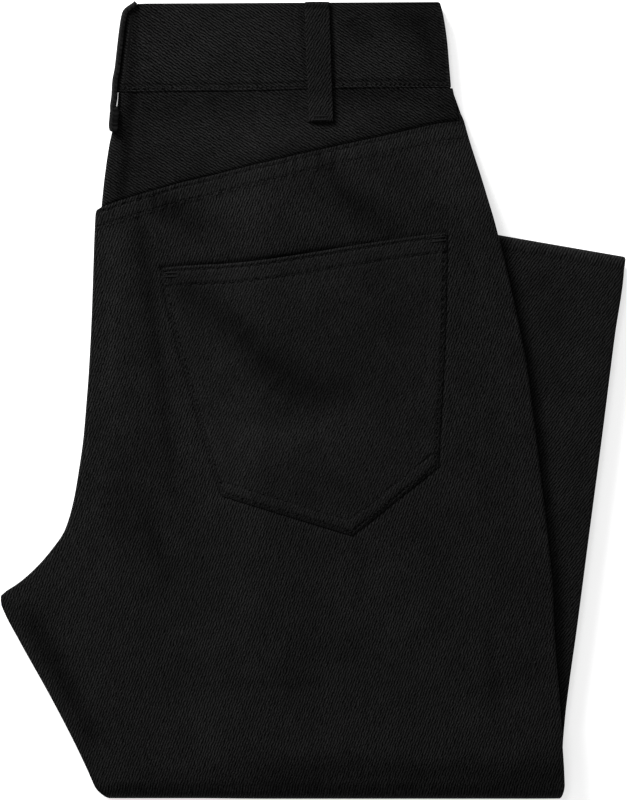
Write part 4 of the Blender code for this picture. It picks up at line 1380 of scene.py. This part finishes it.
def along_path(path):
    """Plan points every stitch along a path of straight stretches, and the way it runs there."""
    length = np.concatenate([[0.0], np.cumsum(np.linalg.norm(np.diff(path, axis=0), axis=1))])
    at = np.arange(STITCH_PITCH / 2, length[-1] - STITCH_PITCH / 3, STITCH_PITCH)

    def point(at):
        """The path's points at these lengths."""
        return np.column_stack([np.interp(at, length, path[:, axis]) for axis in (0, 1)])

    return point(at), unit(point(at + 0.4) - point(at - 0.4))


def sewn(path, face, side):
    """Centres and directions of a row of stitches on a face given as a height at plan points."""
    plan, ahead = along_path(path)
    x, y = plan.T
    ahead_x, ahead_y = ahead.T
    slope = (face(x + ahead_x, y + ahead_y, side) - face(x - ahead_x, y - ahead_y, side)) / 2
    centres = np.column_stack([plan, face(x, y, side), np.full(len(x), float(side))])
    return centres, np.column_stack([ahead, slope])


def inset(path, distance):
    """A path moved sideways, to the left of the way it runs."""
    ahead = unit(np.gradient(path, axis=0))
    return path + distance * np.column_stack([-ahead[:, 1], ahead[:, 0]])


def joined(rows):
    """Several rows of stitches as one list of centres and one of directions."""
    return [np.concatenate(parts) for parts in zip(*rows)]


def band_face(x, y, side):
    """Height of the waistband's outer face in space, level all over and a little pressed at its foot."""
    return 0 * (x + y) + BAND_MIDDLE + side * (1.5 * BAND_LAYER + BAND_HALF - BAND_FACE_PRESSED)


YOKE_SEAM_SEWN = (-111.0, 76.0)
BAND_FOOT_SEWN = (-99.5, 70.0)
yoke_seam_path = line_points(YOKE_SEAM, np.linspace(*YOKE_SEAM_SEWN, 90))
band_foot_path = line_points(BAND_FOOT, np.linspace(*BAND_FOOT_SEWN, 60)) + (0.0, BAND_ROW)
left_edge, foot_edge, right_edge, mouth_edge = pocket_outline(24)
foot_fine = np.linspace(foot_edge[0], foot_edge[1], 20)
foot_fine = np.concatenate([foot_fine, np.linspace(foot_edge[1], foot_edge[2], 14)[1:]])


def pocket_rows(side):
    """The pocket's stitch rows: round its sides and foot, a second one in the foot, two at the mouth."""
    first, second = POCKET_EDGE_ROWS
    rows = [inset(left_edge, first), inset(foot_fine, first)[1:-1], inset(right_edge, first)]
    rows += [inset(foot_fine, second)[3:-3]]
    rows += [inset(mouth_edge, row)[1:-1] for row in POCKET_HEM_ROWS]
    return [sewn(row, pocket_face, side) for row in rows]


for side, half in HALVES:
    stitches("topstitching_band_" + half, *sewn(band_foot_path, band_face, side), STITCH_LENGTH)
    seam_rows = [sewn(inset(yoke_seam_path, -row), body_face, side) for row in SEAM_ROWS]
    stitches("topstitching_yoke_" + half, *joined(seam_rows), STITCH_LENGTH)
    stitches("topstitching_pocket_" + half, *joined(pocket_rows(side)), STITCH_LENGTH)


BAR_PITCH = 1.9
BAR_LENGTH = 8.4
BAR_HALF = 0.5
BAR_COUNT = 2

# How far the folded foot of the side loop stands over the yoke on each half
LOOP_ENDS = {1: 2.35, -1: 1.18}


def bars(x, y, slope, side, face):
    """Bartack threads side by side, centred on a point and run across at this slope."""
    at = np.arange(BAR_COUNT) - (BAR_COUNT - 1) / 2
    centre_x = x + 0 * at
    centre_y = y + at * BAR_PITCH
    level = face(centre_x, centre_y, side) + side * 0.1
    centres = np.column_stack([centre_x, centre_y, level, side + 0 * at])
    return centres, np.tile([1.0, slope, 0.0], (BAR_COUNT, 1))


def loop_face(x, y, side):
    """Height of a side loop's outer face over its folded foot."""
    return yoke_face(x, y, side) + side * (LOOP_ENDS[side] + LOOP_HALF)


# Place, slope and cloth of the bartacks: the pocket's left and right corner, and the side loop's foot
BARTACKS = [(-72.8, 64.6, 0.03, pocket_face), (64.0, 82.6, 0.12, pocket_face), (3.8, 145.3, 0.0, loop_face)]
for side, half in HALVES:
    rows = [bars(x, y, slope, side, face) for x, y, slope, face in BARTACKS]
    stitches("bartacks_" + half, *joined(rows), BAR_LENGTH, BAR_HALF)

# ------------------------------------------------------------------------------- Studio floor and light
# A white floor that glows a little as a light table does, a broad soft light from the upper left, a weak
# one overhead, and a pale surround.
FLOOR_HALF = 3.0
FLOOR_GLOW = 0.62
SURROUND = 0.24

floor_mesh = bpy.data.meshes.new("floor")
floor_corners = [(x * FLOOR_HALF, y * FLOOR_HALF, 0.0) for x, y in ((-1, -1), (1, -1), (1, 1), (-1, 1))]
floor_mesh.from_pydata(floor_corners, [], [(0, 1, 2, 3)])
floor = bpy.data.objects.new("floor", floor_mesh)
bpy.context.scene.collection.objects.link(floor)
paper, _, paper_shader = new_material("white_table")
set_inputs(paper_shader, {"Base Color": grey(0.9), "Roughness": 0.9})
set_inputs(paper_shader, {"Emission Color": grey(1.0), "Emission Strength": FLOOR_GLOW})
floor_mesh.materials.append(paper)

world = bpy.data.worlds.new("studio")
world.use_nodes = True
set_inputs(world.node_tree.nodes["Background"], {"Color": grey(1.0), "Strength": SURROUND})
bpy.context.scene.world = world


def softbox(name, place, size, power):
    """A square area light that faces the middle of the cloth."""
    light = bpy.data.lights.new(name, "AREA")
    light.shape = "SQUARE"
    light.size = size
    light.energy = power
    box = bpy.data.objects.new(name, light)
    box.location = place
    box.rotation_euler = box.location.to_track_quat("Z", "Y").to_euler()
    bpy.context.scene.collection.objects.link(box)


softbox("overhead", (-0.42, 0.4, 2.55), size=0.5, power=9.0)
softbox("upper_left", (-1.02, 1.52, 1.06), size=0.8, power=66.0)
bpy.context.scene.view_settings.view_transform = "Standard"
